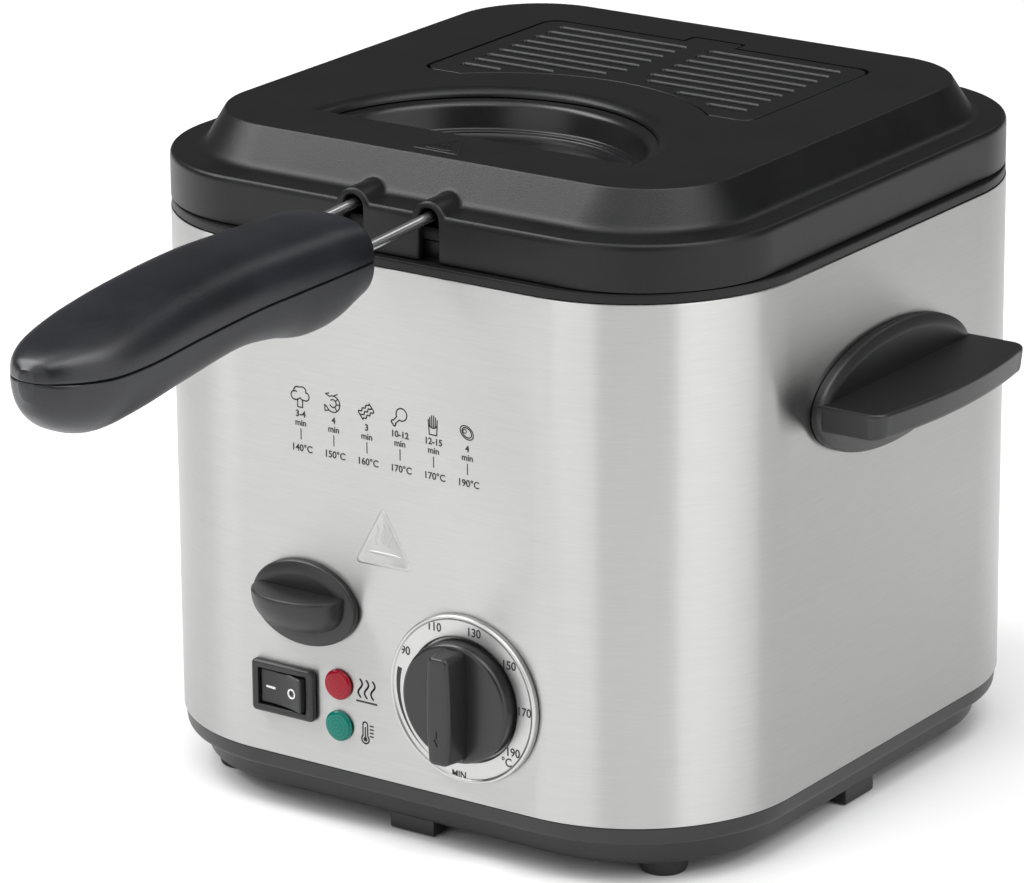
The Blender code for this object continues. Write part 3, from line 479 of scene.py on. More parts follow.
# ---- rim, seal and pot ------------------------------------------------------------------
rim = loft("rim_visual", [
    (104.2, 106.5, 53.3, 177.7), (104.2, 106.5, 53.3, 180.5), (98.4, 99.9, 41.0, 180.5), (98.4, 99.9, 41.0, 186.0), (96.2, 97.7, 38.8, 186.0), (96.2, 97.7, 38.8, 180.2),
    (80.0, 82.0, 35.5, 180.2), (80.0, 82.0, 35.5, 177.7), (100.6, 102.9, 49.7, 177.7), (100.6, 102.9, 49.7, 167.0), (102.9, 105.2, 52.0, 167.0), (102.9, 105.2, 52.0, 177.7)],
    [0.3, 0.9, 0.4, 0.5, 0.5, 0.3, 0.3, 0, 0, 0, 0, 0], BLACK, loop=True, n=N, steps=4)
put(weighted(rim), "housing", "black_plastic", "top_rim")
put(loft("seal_visual", [(98.6, 100.1, 41.2, 186.3), (98.6, 100.1, 41.2, 188.4), (97.4, 98.9, 40.0, 189.8), (96.0, 97.5, 38.6, 188.4), (96.0, 97.5, 38.6, 186.3)],
         [0.2, 0.8, 0.8, 0.8, 0.2], SEAL, loop=True, n=N), "housing", "seal_rubber", "rim_seal")
put(loft("pot_visual", [
    (66.0, 68.0, 24.0, 74.0), (71.2, 73.2, 29.2, 76.2), (77.6, 79.6, 34.0, 180.5), (88.0, 89.5, 38.0, 180.5), (88.0, 89.5, 38.0, 182.0), (76.1, 78.1, 32.5, 182.0),
    (69.6, 71.6, 27.6, 78.4), (64.0, 66.0, 22.0, 75.8)], [0, 4.5, 1.0, 0.4, 0.6, 3.0, 5.5, 0], POT, n=N, steps=7), "housing", "pot_coating", "inner_pot")

# ---- dial bezel, knob and its scale -----------------------------------------------------
put(turned("bezel_visual", [(18.95, F), (18.95, F - 1.0), (19.3, F - 1.5), (24.3, F - 1.5), (24.9, F - 2.1), (25.5, F - 2.0), (25.8, F - 1.4), (25.8, F)], DIAL, SATIN,
           n=160, loop=True, cuts=[0, 0.3, 0.25, 0.3, 0.3, 0.25, 0.3, 0]), "housing", "satin_metal", "dial_bezel")
knob = turned("knob_disc", [(0.01, F - 2.0), (16.4, F - 2.0), (16.4, F - 0.1), (17.4, F - 0.1), (18.4, F - 0.6), (18.4, F - 5.4), (17.6, F - 6.4), (0.01, F - 6.4)], DIAL, KNOB,
              n=160, cuts=[0, 0, 0.1, 0.3, 0.4, 0.9, 0.7, 0], steps=6)


def bar_ring(half_w, half_l, r, y, barrel=0.0, n=10):
    ring = rr(half_w, half_l, r, 0.0, n, sub=9)
    return [(DIAL[0] + x + barrel * (1 if x > 0 else -1) * max(0.0, 1 - (z / half_l) ** 2) * min(1.0, abs(x) / (half_w * 0.6)), y, DIAL[1] + z) for x, z, _ in ring]


rows = soften([(4.4, 17.0, 1.7, F - 5.2), (4.3, 16.9, 1.7, F - 6.8), (3.2, 16.5, 1.5, F - 14.3), (0.9, 14.5, 0.5, F - 14.55)], [0, 0.5, 1.1, 0], 6)
bar = skin("knob_bar", [bar_ring(w, l, min(r, w * 0.9), y, 0.75) for w, l, r, y in rows], KNOB)
arrow_cut = skin("arrow_cut", [[(DIAL[0] + x, y, z) for x, z in ((-0.35, 46.0), (0.35, 46.0), (0.35, 43.3), (1.15, 43.3), (0.0, 41.0), (-1.15, 43.3), (-0.35, 43.3))] for y in (F - 16.0, F - 14.3)], KNOB)
boolean(bar, [arrow_cut])
put(merged("knob_visual", [weighted(knob), weighted(bar)]), "knob", "black_plastic", "thermostat_knob")

# ---- lamps ------------------------------------------------------------------------------
for name, z, look, tint in (("lamp_red", 46.5, RED, "red_lens"), ("lamp_green", 33.5, GREEN, "green_lens")):
    put(turned(name + "_lens", [(2.6, FRONT + 9.5), (3.9, FRONT + 8.5), (3.9, F), (4.7, F), (4.7, F - 0.6), (4.1, F - 1.15), (2.2, F - 1.5), (0.01, F - 1.6)], (-18.6, z), look,
               n=72, cuts=[0, 0.3, 0, 0.1, 0.4, 0.5, 0.8, 0]), "housing", tint, name)


# ---- rocker switch ----------------------------------------------------------------------
def upright(half_w, half_h, r, y, cx, cz, n=8):
    return [(cx + x, y, cz + z) for x, z, _ in rr(half_w, half_h, r, 0.0, n)]


rows = soften([(9.5, 6.5, 0.8, FRONT + 18), (9.5, 6.5, 0.8, F), (11.3, 8.1, 1.4, F), (11.3, 8.1, 1.4, F - 1.5), (10.5, 7.3, 0.9, F - 2.1), (8.8, 5.8, 0.5, F - 1.9), (8.8, 5.8, 0.5, FRONT + 10)],
              [0, 0, 0.2, 0.6, 0.4, 0.3, 0], 4)
put(weighted(skin("rocker_frame", [upright(a, b, r, y, -38.4, 40.9) for a, b, r, y in rows], BLACK)), "housing", "black_plastic", "rocker_housing")


def rocker_plan(inset=0.0):
    shape = soften([(-8.2, -2.3), (-3.9, -1.6), (0.0, -1.4), (3.9, -1.6), (8.2, -2.3), (8.45, 0.0), (6.6, 3.6), (4.2, 6.3), (-4.2, 6.3), (-6.6, 3.6), (-8.45, 0.0)],
                   [0.6, 2.0, 1.9, 2.0, 0.6, 0.3, 0, 0, 0, 0, 0.3], 5, closed=True)
    t = radians(9.0)
    out = []
    for x, y in shape:
        x, y = x * (1 - inset / 8.0), y + (inset if y < 0 else 0)
        out.append((-38.4 + x * cos(t) + y * sin(t), FRONT - 0.2 + y * cos(t) - x * sin(t)))
    return out


rocker = skin("rocker_face", [[(x, y, 40.9 + dz) for x, y in rocker_plan(inset)] for inset, dz in ((0.35, -5.35), (0.0, -5.0), (0.0, 5.0), (0.35, 5.35))], BLACK)


def decal(name, outlines, origin, mat, out=(0, -1, 0), right=(1, 0, 0), up=(0, 0, 1), lift=0.03, thick=0.05):
    """Flat printed shapes: lists of (u, v) loops laid on a plane."""
    o, e, r, u = Vector(origin), Vector(out), Vector(right), Vector(up)
    verts, faces = [], []
    for loop in outlines:
        for h in (lift - thick, lift):
            verts.extend(tuple(o + r * a + u * b + e * h) for a, b in loop)
        n, s = len(loop), len(verts) - 2 * len(loop)
        faces.append(tuple(range(s, s + n)))
        faces.append(tuple(range(s + n, s + 2 * n)))
        faces.extend((s + i, s + (i + 1) % n, s + n + (i + 1) % n, s + n + i) for i in range(n))
    return mesh_object(name, verts, faces, mat)


def stroke(points, w):
    """The outline of a line of width w along points."""
    pts = [np.array(p, float) for p in points]
    left, right = [], []
    for i, p in enumerate(pts):
        a, b = pts[max(0, i - 1)], pts[min(len(pts) - 1, i + 1)]
        d = (b - a) / np.linalg.norm(b - a)
        nrm = np.array((-d[1], d[0])) * w / 2
        left.append(tuple(p + nrm))
        right.append(tuple(p - nrm))
    return left + right[::-1]


def disc(cx, cy, r, n=24, sy=1.0):
    return [(cx + r * cos(2 * pi * i / n), cy + r * sy * sin(2 * pi * i / n)) for i in range(n)]


def ring_parts(cx, cy, r, w, n=24, start=0.0, end=360.0, sy=1.0):
    """A ring as short quads."""
    out = []
    for i in range(n):
        t0, t1 = radians(start + (end - start) * i / n), radians(start + (end - start) * (i + 1) / n)
        out.append([(cx + q * cos(t), cy + q * sy * sin(t)) for q, t in ((r - w / 2, t0), (r + w / 2, t0), (r + w / 2, t1), (r - w / 2, t1))])
    return out


t = radians(9.0)
right = (cos(t), -sin(t), 0)
facing = (-sin(t), -cos(t), 0)
marks = []
for at, loops in ((-4.4, [stroke([(-1.8, 0), (1.8, 0)], 0.6)]), (4.4, ring_parts(0, 0, 1.35, 0.45))):
    x, y = at, -1.75
    marks.append(decal("mark", loops, (-38.4 + x * cos(t) + y * sin(t), FRONT - 0.2 + y * cos(t) - x * sin(t), 40.9), WHITE_INK, facing, right, lift=0.25, thick=0.6))
put(merged("rocker_visual", [weighted(rocker)] + marks), "rocker", "black_plastic", "rocker_button")

# ---- oval grip on the front -------------------------------------------------------------
GX, GZ = -29.8, 70.3


def oval(a, b, cx, cz, at, axis="Y", n=128):
    ring = []
    for i in range(n):
        t = 2 * pi * i / n
        u, v = cx + a * cos(t), cz + b * sin(t)
        ring.append((u, at, v) if axis == "Y" else (at, u, v))
    return ring


rows = soften([(18.75, 13.2, F), (18.75, 13.2, F - 2.0), (15.6, 10.3, F - 3.1), (8.0, 5.0, F - 3.1)], [0, 1.2, 2.2, 0], 7)
plate = skin("grip_plate", [oval(a, b, GX, GZ, y) for a, b, y in rows], BLACK)


def fin_rings():
    rings, back, top = [], F - 2.0, GZ + 4.5
    for i in range(61):
        t = radians(7 + 166 * i / 60)
        x = GX - 15.7 * cos(t)
        reach, drop = 12.2 * sin(t) ** 0.75, 13.0 * sin(t) ** 0.6
        lip = min(0.9, reach * 0.35)
        ring = [(x, back, top), (x, back - reach + lip, top), (x, back - reach + lip * 0.3, top - lip * 0.12), (x, back - reach, top - lip * 0.55)]
        for k in range(1, 15):
            s = k / 14 * pi / 2
            ring.append((x, back - reach * cos(s) ** 0.9 if k < 14 else back, top - lip * 0.55 - (drop - lip * 0.55) * sin(s)))
        rings.append(ring)
    return rings


put(merged("front_grip_visual", [weighted(plate), skin("fin", fin_rings(), BLACK, angle=50)]), "housing", "black_plastic", "front_grip")


# ---- carrying grips ---------------------------------------------------------------------
def shelf_plan(reach, half, corner, inner=105.6):
    bow = [(reach - 3.6 * (k / 24) ** 2, (half - corner) * k / 24) for k in range(25)]
    cx, cy = bow[-1][0] - corner, half - corner
    turn = [(cx + corner * cos(a), cy + corner * sin(a)) for a in (radians(90 * k / 14) for k in range(1, 15))]
    upper = bow + turn + [(inner, half)]
    return [(x, -y) for x, y in reversed(upper[1:])] + upper


for side, sx in (("right", 1), ("left", -1)):
    rows = soften([(43.0, 18.3, 104.7), (43.0, 18.3, 107.2), (40.0, 15.3, 108.4), (10.0, 4.0, 108.4)], [0, 1.2, 2.0, 0], 7)
    plate = skin("plate", [oval(a, b, 0.0, 133.5, sx * x, "X", 160) for a, b, x in rows], BLACK)
    rows = soften([(128.2, 40.6, 4.0, 129.3), (130.6, 41.6, 4.6, 129.9), (131.4, 42.3, 5.2, 136.9), (131.0, 41.9, 4.9, 137.7), (129.0, 40.5, 4.0, 137.7)], [0, 1.4, 0.6, 0.5, 0], 5)
    shelf = skin("shelf", [[(sx * x, y, z) for x, y in shelf_plan(reach, half, corner)] for reach, half, corner, z in rows], BLACK)
    put(merged("side_grip_" + side, [weighted(plate), weighted(shelf)]), "housing", "black_plastic", "side_handle_" + side)

# ---- cord gland -------------------------------------------------------------------------
put(turned("gland_visual", [(4.0, 99.7), (6.4, 99.7), (6.4, 107.0), (9.5, 107.0), (9.5, 108.3), (8.3, 109.6), (4.0, 109.6)], (0.0, 40.0), BLACK, n=64, loop=True,
           cuts=[0, 0, 0, 0.3, 0.5, 0.5, 0.4]), "housing", "black_plastic", "cord_gland")


# =========================================================================================
# lid
# =========================================================================================
BUMP_X, BUMP_R = 13.3, 5.6
FRONT_X = sorted({round(s * BUMP_X + BUMP_R * cos(radians(7.5 * k)), 3) for s in (-1, 1) for k in range(25)}
                 | {round(s * (BUMP_X + e), 3) for s in (-1, 1) for e in (-5.75, -6.0, -6.4, -7.0, -8.0, -10.0, 5.75, 6.0, 6.4, 7.0, 8.0, 10.0, 14.0, 20.0, 30.0)} | {0.0})


def bump_height(x):
    best = 0.0
    for s in (-BUMP_X, BUMP_X):
        d = abs(x - s)
        rise = SLOT_CENTRE + sqrt(BUMP_R * BUMP_R - d * d) - LEDGE if d < BUMP_R else -1.8 - 3.0 * (d - BUMP_R)
        best = max(best, smooth_max(rise, 0.0, 1.5) - (0.0 if rise > 0.75 else smooth_max(-1.8 - 3.0 * 6, 0.0, 1.5)))
    return max(0.0, best)


def lid_rings():
    stations = [(86.0, 84.6, 27.8, LID_TOP), (86.9, 85.5, 28.7, LID_TOP), (93.6, 94.2, 37.9, 195.3), (102.1, 103.6, 44.4, LEDGE), (102.1, 103.6, 44.4, 180.9)]
    rows = soften(stations, [0, 1.3, 3.0, 2.3, 0.5], 7)
    dense = []
    for p, q in zip(rows, rows[1:]):
        steps = 14 if p[3] > 196 and p[3] - q[3] > 4 else 9 if abs(p[3] - q[3]) < 0.4 and q[1] - p[1] > 3 else 1
        dense.extend(p + (q - p) * k / steps for k in range(steps))
    dense.append(rows[-1])
    rings = []
    for a, b, r, z in dense:
        ring = rr(a, b, r, z, N, front=FRONT_X)
        if z > 191:
            lifted = []
            for x, y, zz in ring:
                if y < -80 and abs(x) < 30:
                    h = bump_height(x)
                    fall = 1.0 if h > 0.4 else h / 0.4
                    zz = zz + h if zz <= LEDGE + 0.02 else max(zz, smooth_max(zz, LEDGE + h, 0.8 * fall + 1e-6))
                lifted.append((x, y, zz))
            ring = lifted
        rings.append(ring)
    for a, b, r, z in ((99.7, 101.2, 42.0, 180.9), (99.7, 101.2, 42.0, 192.4), (91.2, 91.8, 35.5, 192.8), (84.3, 82.9, 26.1, 203.9)):
        rings.append(rr(a, b, r, z, N, front=FRONT_X))
    return rings


def cover_outline(d, latch=True, n=48, tab=5.5):
    w, back, front, r, corner = 58.5 + d, 65.0 + d, -4.5 - d, 65.4 - d, 5.0
    reach = sqrt(r * r - (front + 52.3) ** 2)
    half = [(w, front + corner)] + [(w - corner + corner * cos(t), front + corner + corner * sin(t)) for t in (radians(-a) for a in (10, 20, 30, 40, 50, 60, 70, 80, 90))]
    sweep = atan2(reach, front + 52.3)
    arc = [(r * sin(sweep * k / n), -52.3 + r * cos(sweep * k / n)) for k in range(n, -n - 1, -1)]
    run = half + arc + [(-x, y) for x, y in reversed(half)]
    rear = [(-w + corner - corner * cos(t), back - corner + corner * sin(t)) for t in (radians(a) for a in range(0, 91, 10))]
    latch_tab = [(-9.0 - d, back), (-9.0 - d, back + tab - 0.8), (-8.2 - d, back + tab), (8.2 + d, back + tab), (9.0 + d, back + tab - 0.8), (9.0 + d, back)] if latch else []
    return run + rear + latch_tab + [(-x, y) for x, y in reversed(rear)]


def recess_outline(d, chord=None, n=96):
    chord = d if chord is None else chord
    y0 = -62.5 - chord
    arc = [((54.0 + d) * cos(pi * k / n), -62.5 + (54.5 + d) * sin(pi * k / n)) for k in range(1, n)]
    side = soften([(54.0 + d, -62.5), (54.0 + d - 0.6, y0), (54.0 + d - 9.0, y0)], [0, 3.6, 0], 7)
    side = [(float(x), float(y)) for x, y in side]
    return [(-x, y) for x, y in side] + list(reversed(side)) + arc


lid = skin("lid_visual", lid_rings(), LID)
slots = []
for x in (-BUMP_X, BUMP_X):
    rings = []
    for y, r in ((-110.0, 4.3), (-103.6, 4.0), (-103.35, 3.72), (-102.9, 3.45), (-102.2, 3.3), (-85.0, 3.3)):
        shape = [(r, 170.0)] + [(r * cos(a), SLOT_CENTRE + r * sin(a)) for a in (pi * k / 32 for k in range(33))] + [(-r, 170.0)]
        rings.append([(x + u, y, v) for u, v in shape])
    slots.append(skin("slot", rings, None))
opening = prism("opening", cover_outline(0.8), LID_TOP - 12, LID_TOP + 5, None)
levels = [(4.6, 0.9, LID_TOP + 3.0), (4.6, 0.9, LID_TOP + 0.01)]
for k in range(9):
    t = pi / 2 * k / 8
    levels.append((4.0 - 4.0 * sin(t), 0.5 - 0.5 * sin(t), LID_TOP - 2.5 + 2.5 * cos(t)))
levels.append((0.0, 0.0, LID_TOP - 14))
recess = skin("recess", [[(x, y, z) for x, y in recess_outline(d, c)] for d, c, z in levels], None)
boolean(lid, slots + [opening, recess])
put(weighted(lid), "lid", "lid_plastic", "lid_shell")

# dark window that lines the recess
pz = 203.5
rows = soften([(-9.4, -6.6, pz - 13.2), (-6.8, -3.2, pz - 12.2), (1.2, 1.2, pz - 2.0), (5.5, 2.6, pz - 2.0), (5.5, 2.6, pz), (-0.2, -0.2, pz), (-2.7, -1.2, pz - 0.9),
               (-4.9, -2.0, pz - 8.2), (-6.1, -2.6, pz - 8.5), (-6.35, -2.8, pz - 9.3), (-8.8, -5.8, pz - 10.9)], [0, 0.8, 0, 0, 0.3, 0.2, 2.0, 0.5, 0.3, 0.3, 0], 5)
put(weighted(skin("window_visual", [[(x, y, z) for x, y in recess_outline(d, c)] for d, c, z in rows], PANE)), "lid", "smoked_window", "window_pane")

# ---- filter cover -----------------------------------------------------------------------
rows = soften([(-0.25, 204.2), (0.0, 204.45), (0.0, LID_TOP), (-1.2, LID_TOP)], [0, 0, 0.55, 0], 4)
cover = skin("cover", [[(x, y, z) for x, y in cover_outline(d)] for d, z in rows], LID)
cutters = []
for i in range(9):
    y = 58.0 - 6.6 * i
    inner_x = 4.2 if i < 6 else (7.5, 22.3, 37.2)[i - 6]
    for sx in (-1, 1):
        x0, x1 = sorted((sx * inner_x, sx * 51.2))
        rings = []
        for g, z in ((0.9, LID_TOP + 2), (0.62, LID_TOP + 0.02), (0.3, LID_TOP - 0.22), (0.06, LID_TOP - 0.62), (0.0, LID_TOP - 1.0), (0.0, LID_TOP - 6)):
            rings.append([((x0 + x1) / 2 + u, y + v, z) for u, v, _ in rr((x1 - x0) / 2 + g, 1.2 + g, 0.9 + g, 0.0, 6)])
        cutters.append(skin("grille", rings, None))
boolean(cover, [merged("grille_cutter", cutters)])
pins = [turned("pin", [(0.01, sx * 56.0), (0.5, sx * 56.0), (0.5, sx * 60.7), (0.01, sx * 60.7)], (0.6, 205.5), LID, "X", 24) for sx in (-1, 1)]
put(merged("filter_cover_visual", [weighted(cover)] + pins), "filter_cover", "lid_plastic", "filter_cover")


# =========================================================================================
# basket, woven from wire
# =========================================================================================
def tube_mesh(name, paths, radius, mat, sides=6, closed=False):
    """Round wires along lists of points, as one mesh."""
    verts, faces = [], []
    for path in paths:
        pts = [Vector(p) for p in path]
        n = len(pts)
        start = len(verts)
        normal = None
        for i, p in enumerate(pts):
            a, b = (pts[i - 1], pts[(i + 1) % n]) if closed else (pts[max(0, i - 1)], pts[min(n - 1, i + 1)])
            d = (b - a).normalized()
            if normal is None:
                ref = Vector((0, 0, 1)) if abs(d.z) < 0.9 else Vector((1, 0, 0))
                normal = (ref - d * ref.dot(d)).normalized()
            else:
                normal = (normal - d * normal.dot(d)).normalized()
            other = d.cross(normal)
            for k in range(sides):
                t = 2 * pi * k / sides
                verts.append(tuple(p + (normal * cos(t) + other * sin(t)) * radius))
        for i in range(n if closed else n - 1):
            j = (i + 1) % n
            for k in range(sides):
                m = (k + 1) % sides
                faces.append((start + i * sides + k, start + i * sides + m, start + j * sides + m, start + j * sides + k))
        if not closed:
            faces.append(tuple(start + k for k in reversed(range(sides))))
            faces.append(tuple(start + (n - 1) * sides + k for k in range(sides)))
    return mesh_object(name, verts, faces, mat, 60.0, recalc=False)


def wall_point(s, z, off=0.0):
    """A point on the basket's wall; s runs 0..1 round it."""
    f = (z - 90.0) / 82.0
    a, b, r = 60.3 + 3.0 * f, 58.3 + 3.0 * f, 22.3 + 3.0 * f
    a, b, r = a + off, b + off, r + off
    arc = pi * r / 2
    legs = [2 * (b - r), arc, 2 * (a - r), arc, 2 * (b - r), arc, 2 * (a - r), arc]
    total = sum(legs)
    d = (s % 1.0) * total - (b - r)
    # start at the middle of the right side, going towards the back
    if d < 0:
        return (a, d + 0.0, z)
    seq = [(legs[0] / 2, "R"), (arc, "c0"), (legs[2], "B"), (arc, "c1"), (legs[4], "L"), (arc, "c2"), (legs[6], "F"), (arc, "c3"), (legs[0] / 2, "R2")]
    d = (s % 1.0) * total
    for length, tag in seq:
        if d <= length:
            break
        d -= length
    if tag == "R":
        return (a, d, z)
    if tag == "B":
        return (a - r - d, b, z)
    if tag == "L":
        return (-a, b - r - d, z)
    if tag == "F":
        return (-a + r + d, -b, z)
    if tag == "R2":
        return (a, -b + r + d, z)
    k = int(tag[1])
    cx, cy = ((a - r, b - r), (-a + r, b - r), (-a + r, -b + r), (a - r, -b + r))[k]
    t = k * pi / 2 + d / r
    return (cx + r * cos(t), cy + r * sin(t), z)


UPRIGHTS, HOOPS = 96, 16
paths_up = []
for i in range(UPRIGHTS):
    s = i / UPRIGHTS
    path = []
    for j in range(2 * HOOPS + 1):
        z = 92.5 + (171.6 - 92.5) * j / (2 * HOOPS)
        wave = 0.42 * (1 if (i + j // 2) % 2 else -1) if j % 2 else 0.0
        path.append(wall_point(s, z, wave))
    paths_up.append(path)
woven = [tube_mesh("uprights", paths_up, 0.42, BASKET_WIRE, 5)]
hoops = []
for j in range(HOOPS):
    z = 92.5 + (171.6 - 92.5) * (2 * j + 1) / (2 * HOOPS)
    path = []
    for i in range(2 * UPRIGHTS):
        wave = 0.42 * (-1 if (i // 2 + j) % 2 else 1) if i % 2 == 0 else 0.0
        path.append(wall_point(i / (2 * UPRIGHTS), z, wave))
    hoops.append(path)
woven.append(tube_mesh("hoops", hoops, 0.42, BASKET_WIRE, 5, closed=True))
floor_paths = []
for axis in (0, 1):
    half, side = (60.0, 58.0) if axis == 0 else (58.0, 60.0)
    count = 23
    for i in range(count):
        u = -half + 2 * half * (i + 0.5) / count
        rc = 22.0
        reach = side if abs(u) <= half - rc else side - rc + sqrt(max(0.0, rc * rc - (abs(u) - half + rc) ** 2))
        path = []
        for j in range(2 * count + 1):
            v = -reach + 2 * reach * j / (2 * count)
            wave = 0.42 * (1 if (i + j // 2 + axis) % 2 else -1) if j % 2 else 0.0
            edge = min(1.0, max(0.0, (reach - abs(v)) / 2.6))
            z = 90.4 + wave * edge + (1 - edge) ** 2 * 2.2
            path.append((u, v, z) if axis == 0 else (v, u, z))
        floor_paths.append(path)
woven.append(tube_mesh("floor", floor_paths, 0.42, BASKET_WIRE, 5))
frames = []
for z, off in ((91.6, 0.9), (133.0, 1.0)):
    frames.append([wall_point(i / 192, z, off) for i in range(192)])
woven.append(tube_mesh("frames", frames, 1.0, CHROME, 10, closed=True))
put(merged("basket_wire_visual", woven), "basket", "chrome_wire", "basket_mesh")
hoop = [[(64.0 - 26.0) * 0 + x, y, 174.3] for x, y, _ in rr(64.0, 62.0, 26.0, 0.0, 24)]
put(tube_mesh("basket_rim_visual", [hoop], 2.0, CHROME, 16, closed=True), "basket", "chrome_wire", "basket_rim")

# =========================================================================================
# handle
# =========================================================================================
half = [(13.3, -66.0), (13.3, -90.0), (13.3, -133.0), (13.0, -139.0), (11.6, -150.0), (9.6, -162.0), (9.0, -172.0), (7.6, -176.4), (4.5, -178.6), (0.0, -179.2)]
line = half + [(-x, y) for x, y in reversed(half[:-1])]
line = [tuple(p) for p in soften(line, [0, 0, 3, 3, 4, 4, 3, 2, 2, 2, 2, 2, 3, 4, 4, 3, 3, 0, 0], 5)]
put(tube_mesh("rods_visual", [[(x, y, rod_z(y)) for x, y in line]], 1.5, CHROME, 20), "handle", "chrome_wire", "handle_rods")

STATIONS = np.array((
    (-133.0, 15.4, 188.9, 9.6, 7.6), (-135.0, 16.8, 188.9, 11.2, 11.0), (-143.0, 17.6, 189.1, 12.9, 17.2),
    (-156.0, 17.8, 189.1, 13.3, 18.7), (-170.0, 17.9, 189.1, 13.7, 15.8), (-190.0, 18.1, 189.0, 14.1, 13.8),
    (-216.0, 18.0, 187.5, 13.9, 15.6), (-236.0, 17.8, 185.9, 12.8, 17.0), (-250.0, 16.1, 185.3, 10.6, 17.4),
    (-259.5, 12.0, 185.6, 8.4, 14.6), (-265.5, 7.2, 186.0, 5.8, 10.0), (-268.0, 2.6, 186.2, 3.2, 5.0)))


def hermite(table, at):
    """Monotone-ish cubic through a table whose first column falls."""
    xs = -table[:, 0]
    slope = np.zeros((len(xs), table.shape[1] - 1))
    for i in range(len(xs)):
        a, b = max(0, i - 1), min(len(xs) - 1, i + 1)
        slope[i] = (table[b, 1:] - table[a, 1:]) / (xs[b] - xs[a])
    x = -at
    i = int(np.clip(np.searchsorted(xs, x) - 1, 0, len(xs) - 2))
    h = xs[i + 1] - xs[i]
    t = (x - xs[i]) / h
    p0, p1, m0, m1 = table[i, 1:], table[i + 1, 1:], slope[i] * h, slope[i + 1] * h
    return (2 * t ** 3 - 3 * t ** 2 + 1) * p0 + (t ** 3 - 2 * t ** 2 + t) * m0 + (3 * t ** 2 - 2 * t ** 3) * p1 + (t ** 3 - t ** 2) * m1


def grip_half(sign, n=40):
    ys = list(np.linspace(-137.0, -252.0, 80)) + [-252 - 15.9 * sin(pi / 2 * k / 26) for k in range(1, 27)]
    rings = []
    for k in range(9):  # rounded lip at the fryer end
        t = pi / 2 * k / 8
        inset = 2.4 * (1 - sin(t))
        a, z, up, down = hermite(STATIONS[2:], -143.0) + (STATIONS[1, 1:] - STATIONS[2, 1:]) * 0.55
        rings.append((-133.0 - 2.6 * (1 - cos(t)), a - inset, z, up - inset * 0.9, down - inset * 0.9))
    for y in ys:
        if y > -143:
            f = (y + 135.6) / -7.4
            start = rings[8]
            a, z, up, down = np.array(start[1:]) * (1 - f) + hermite(STATIONS, -143.0) * f
        else:
            a, z, up, down = hermite(STATIONS, y)
        rings.append((y, max(a, 0.6), z, max(up, 0.5), max(down, 0.5)))
    out = []
    for y, a, z, up, down in rings:
        h = up if sign > 0 else down
        sq = 2.8 if sign > 0 else 2.3
        z = z + sign * 0.13
        ring = []
        for k in range(n + 1):
            t = pi - pi * k / n
            c, s = cos(t), sin(t)
            x = a * (1 if c > 0 else -1) * abs(c) ** (2 / sq)
            ring.append([x, y, z + sign * h * s ** (2 / sq) if 0 < k < n else z])
        groove = min(0.45, a * 0.1)
        first, last = list(ring[0]), list(ring[-1])
        first[0] += groove
        last[0] -= groove
        ring[0][2] += sign * 0.35
        ring[-1][2] += sign * 0.35
        out.append([tuple(first)] + [tuple(p) for p in ring] + [tuple(last)])
    return out


for name, sign in (("upper", 1), ("lower", -1)):
    put(skin("grip_%s_visual" % name, grip_half(sign), GRIP, angle=50), "handle", "grip_plastic", "grip_" + name)


# =========================================================================================
# printed markings: numbers, marks and simple pictograms only
# =========================================================================================
def text(body, size, at, mat=None, align="CENTER", bold=0.0, squeeze=1.0, origin=(0, FRONT, 0), lift=0.04, angle=0.0):
    """Figures printed on the front panel, their middle at (x, z)."""
    curve = bpy.data.curves.new("t", "FONT")
    curve.body = body
    curve.size = size / 1000.0
    curve.align_x, curve.align_y = align, "CENTER"
    curve.extrude = 0.00003
    curve.offset = bold / 1000.0
    curve.resolution_u = 5
    temp = bpy.data.objects.new("t", curve)
    SC.collection.objects.link(temp)
    bpy.context.view_layer.update()
    graph = bpy.context.evaluated_depsgraph_get()
    mesh = bpy.data.meshes.new_from_object(temp.evaluated_get(graph))
    bpy.data.objects.remove(temp, do_unlink=True)
    c, s = cos(angle), sin(angle)
    for v in mesh.vertices:
        x, y, z = v.co
        x *= squeeze
        x, y = x * c - y * s, x * s + y * c
        p = P((at[0], origin[1] - lift, at[1]))
        v.co = (p[0] + x, p[1] - z, p[2] + y)
    mesh.materials.clear()
    mesh.materials.append(mat or INK)
    made = bpy.data.objects.new("t", mesh)
    SC.collection.objects.link(made)
    return made




def dial_point(angle, r):
    return (DIAL[0] + r * sin(radians(angle)), DIAL[1] + r * cos(radians(angle)))


printed = []
for label, angle, r in (("90", -61.2, 23.0), ("110", -25.5, 22.8), ("130", 11.2, 21.7), ("150", 49.9, 21.5), ("170", 88.7, 21.7), ("190", 126.1, 21.8), ("\u00b0C", 136.5, 22.4), ("MIN", -176.5, 23.7)):
    size = 3.7 if label != "MIN" else 3.1
    printed.append(text(label, size, dial_point(angle, r), INK, bold=0.06, origin=(0, F - 1.5, 0), squeeze=0.92, angle=0.0))
wedge = []
for k in range(30):
    a0, a1 = -76 - 72.0 * k / 30, -76 - 72.0 * (k + 1) / 30
    w0, w1 = 1.5 * (1 - k / 30) + 0.1, 1.5 * (1 - (k + 1) / 30) + 0.1
    wedge.append([(sin(radians(a)) * r, cos(radians(a)) * r) for a, r in ((a0, 22.9 + w0 / 2), (a0, 22.9 - w0 / 2), (a1, 22.9 - w1 / 2), (a1, 22.9 + w1 / 2))])
printed.append(decal("wedge", wedge, (DIAL[0], F - 1.5, DIAL[1]), INK))
put(merged("dial_marks", printed), "housing", "black_plastic")

printed = []
W = 0.4  # line width of the pictograms


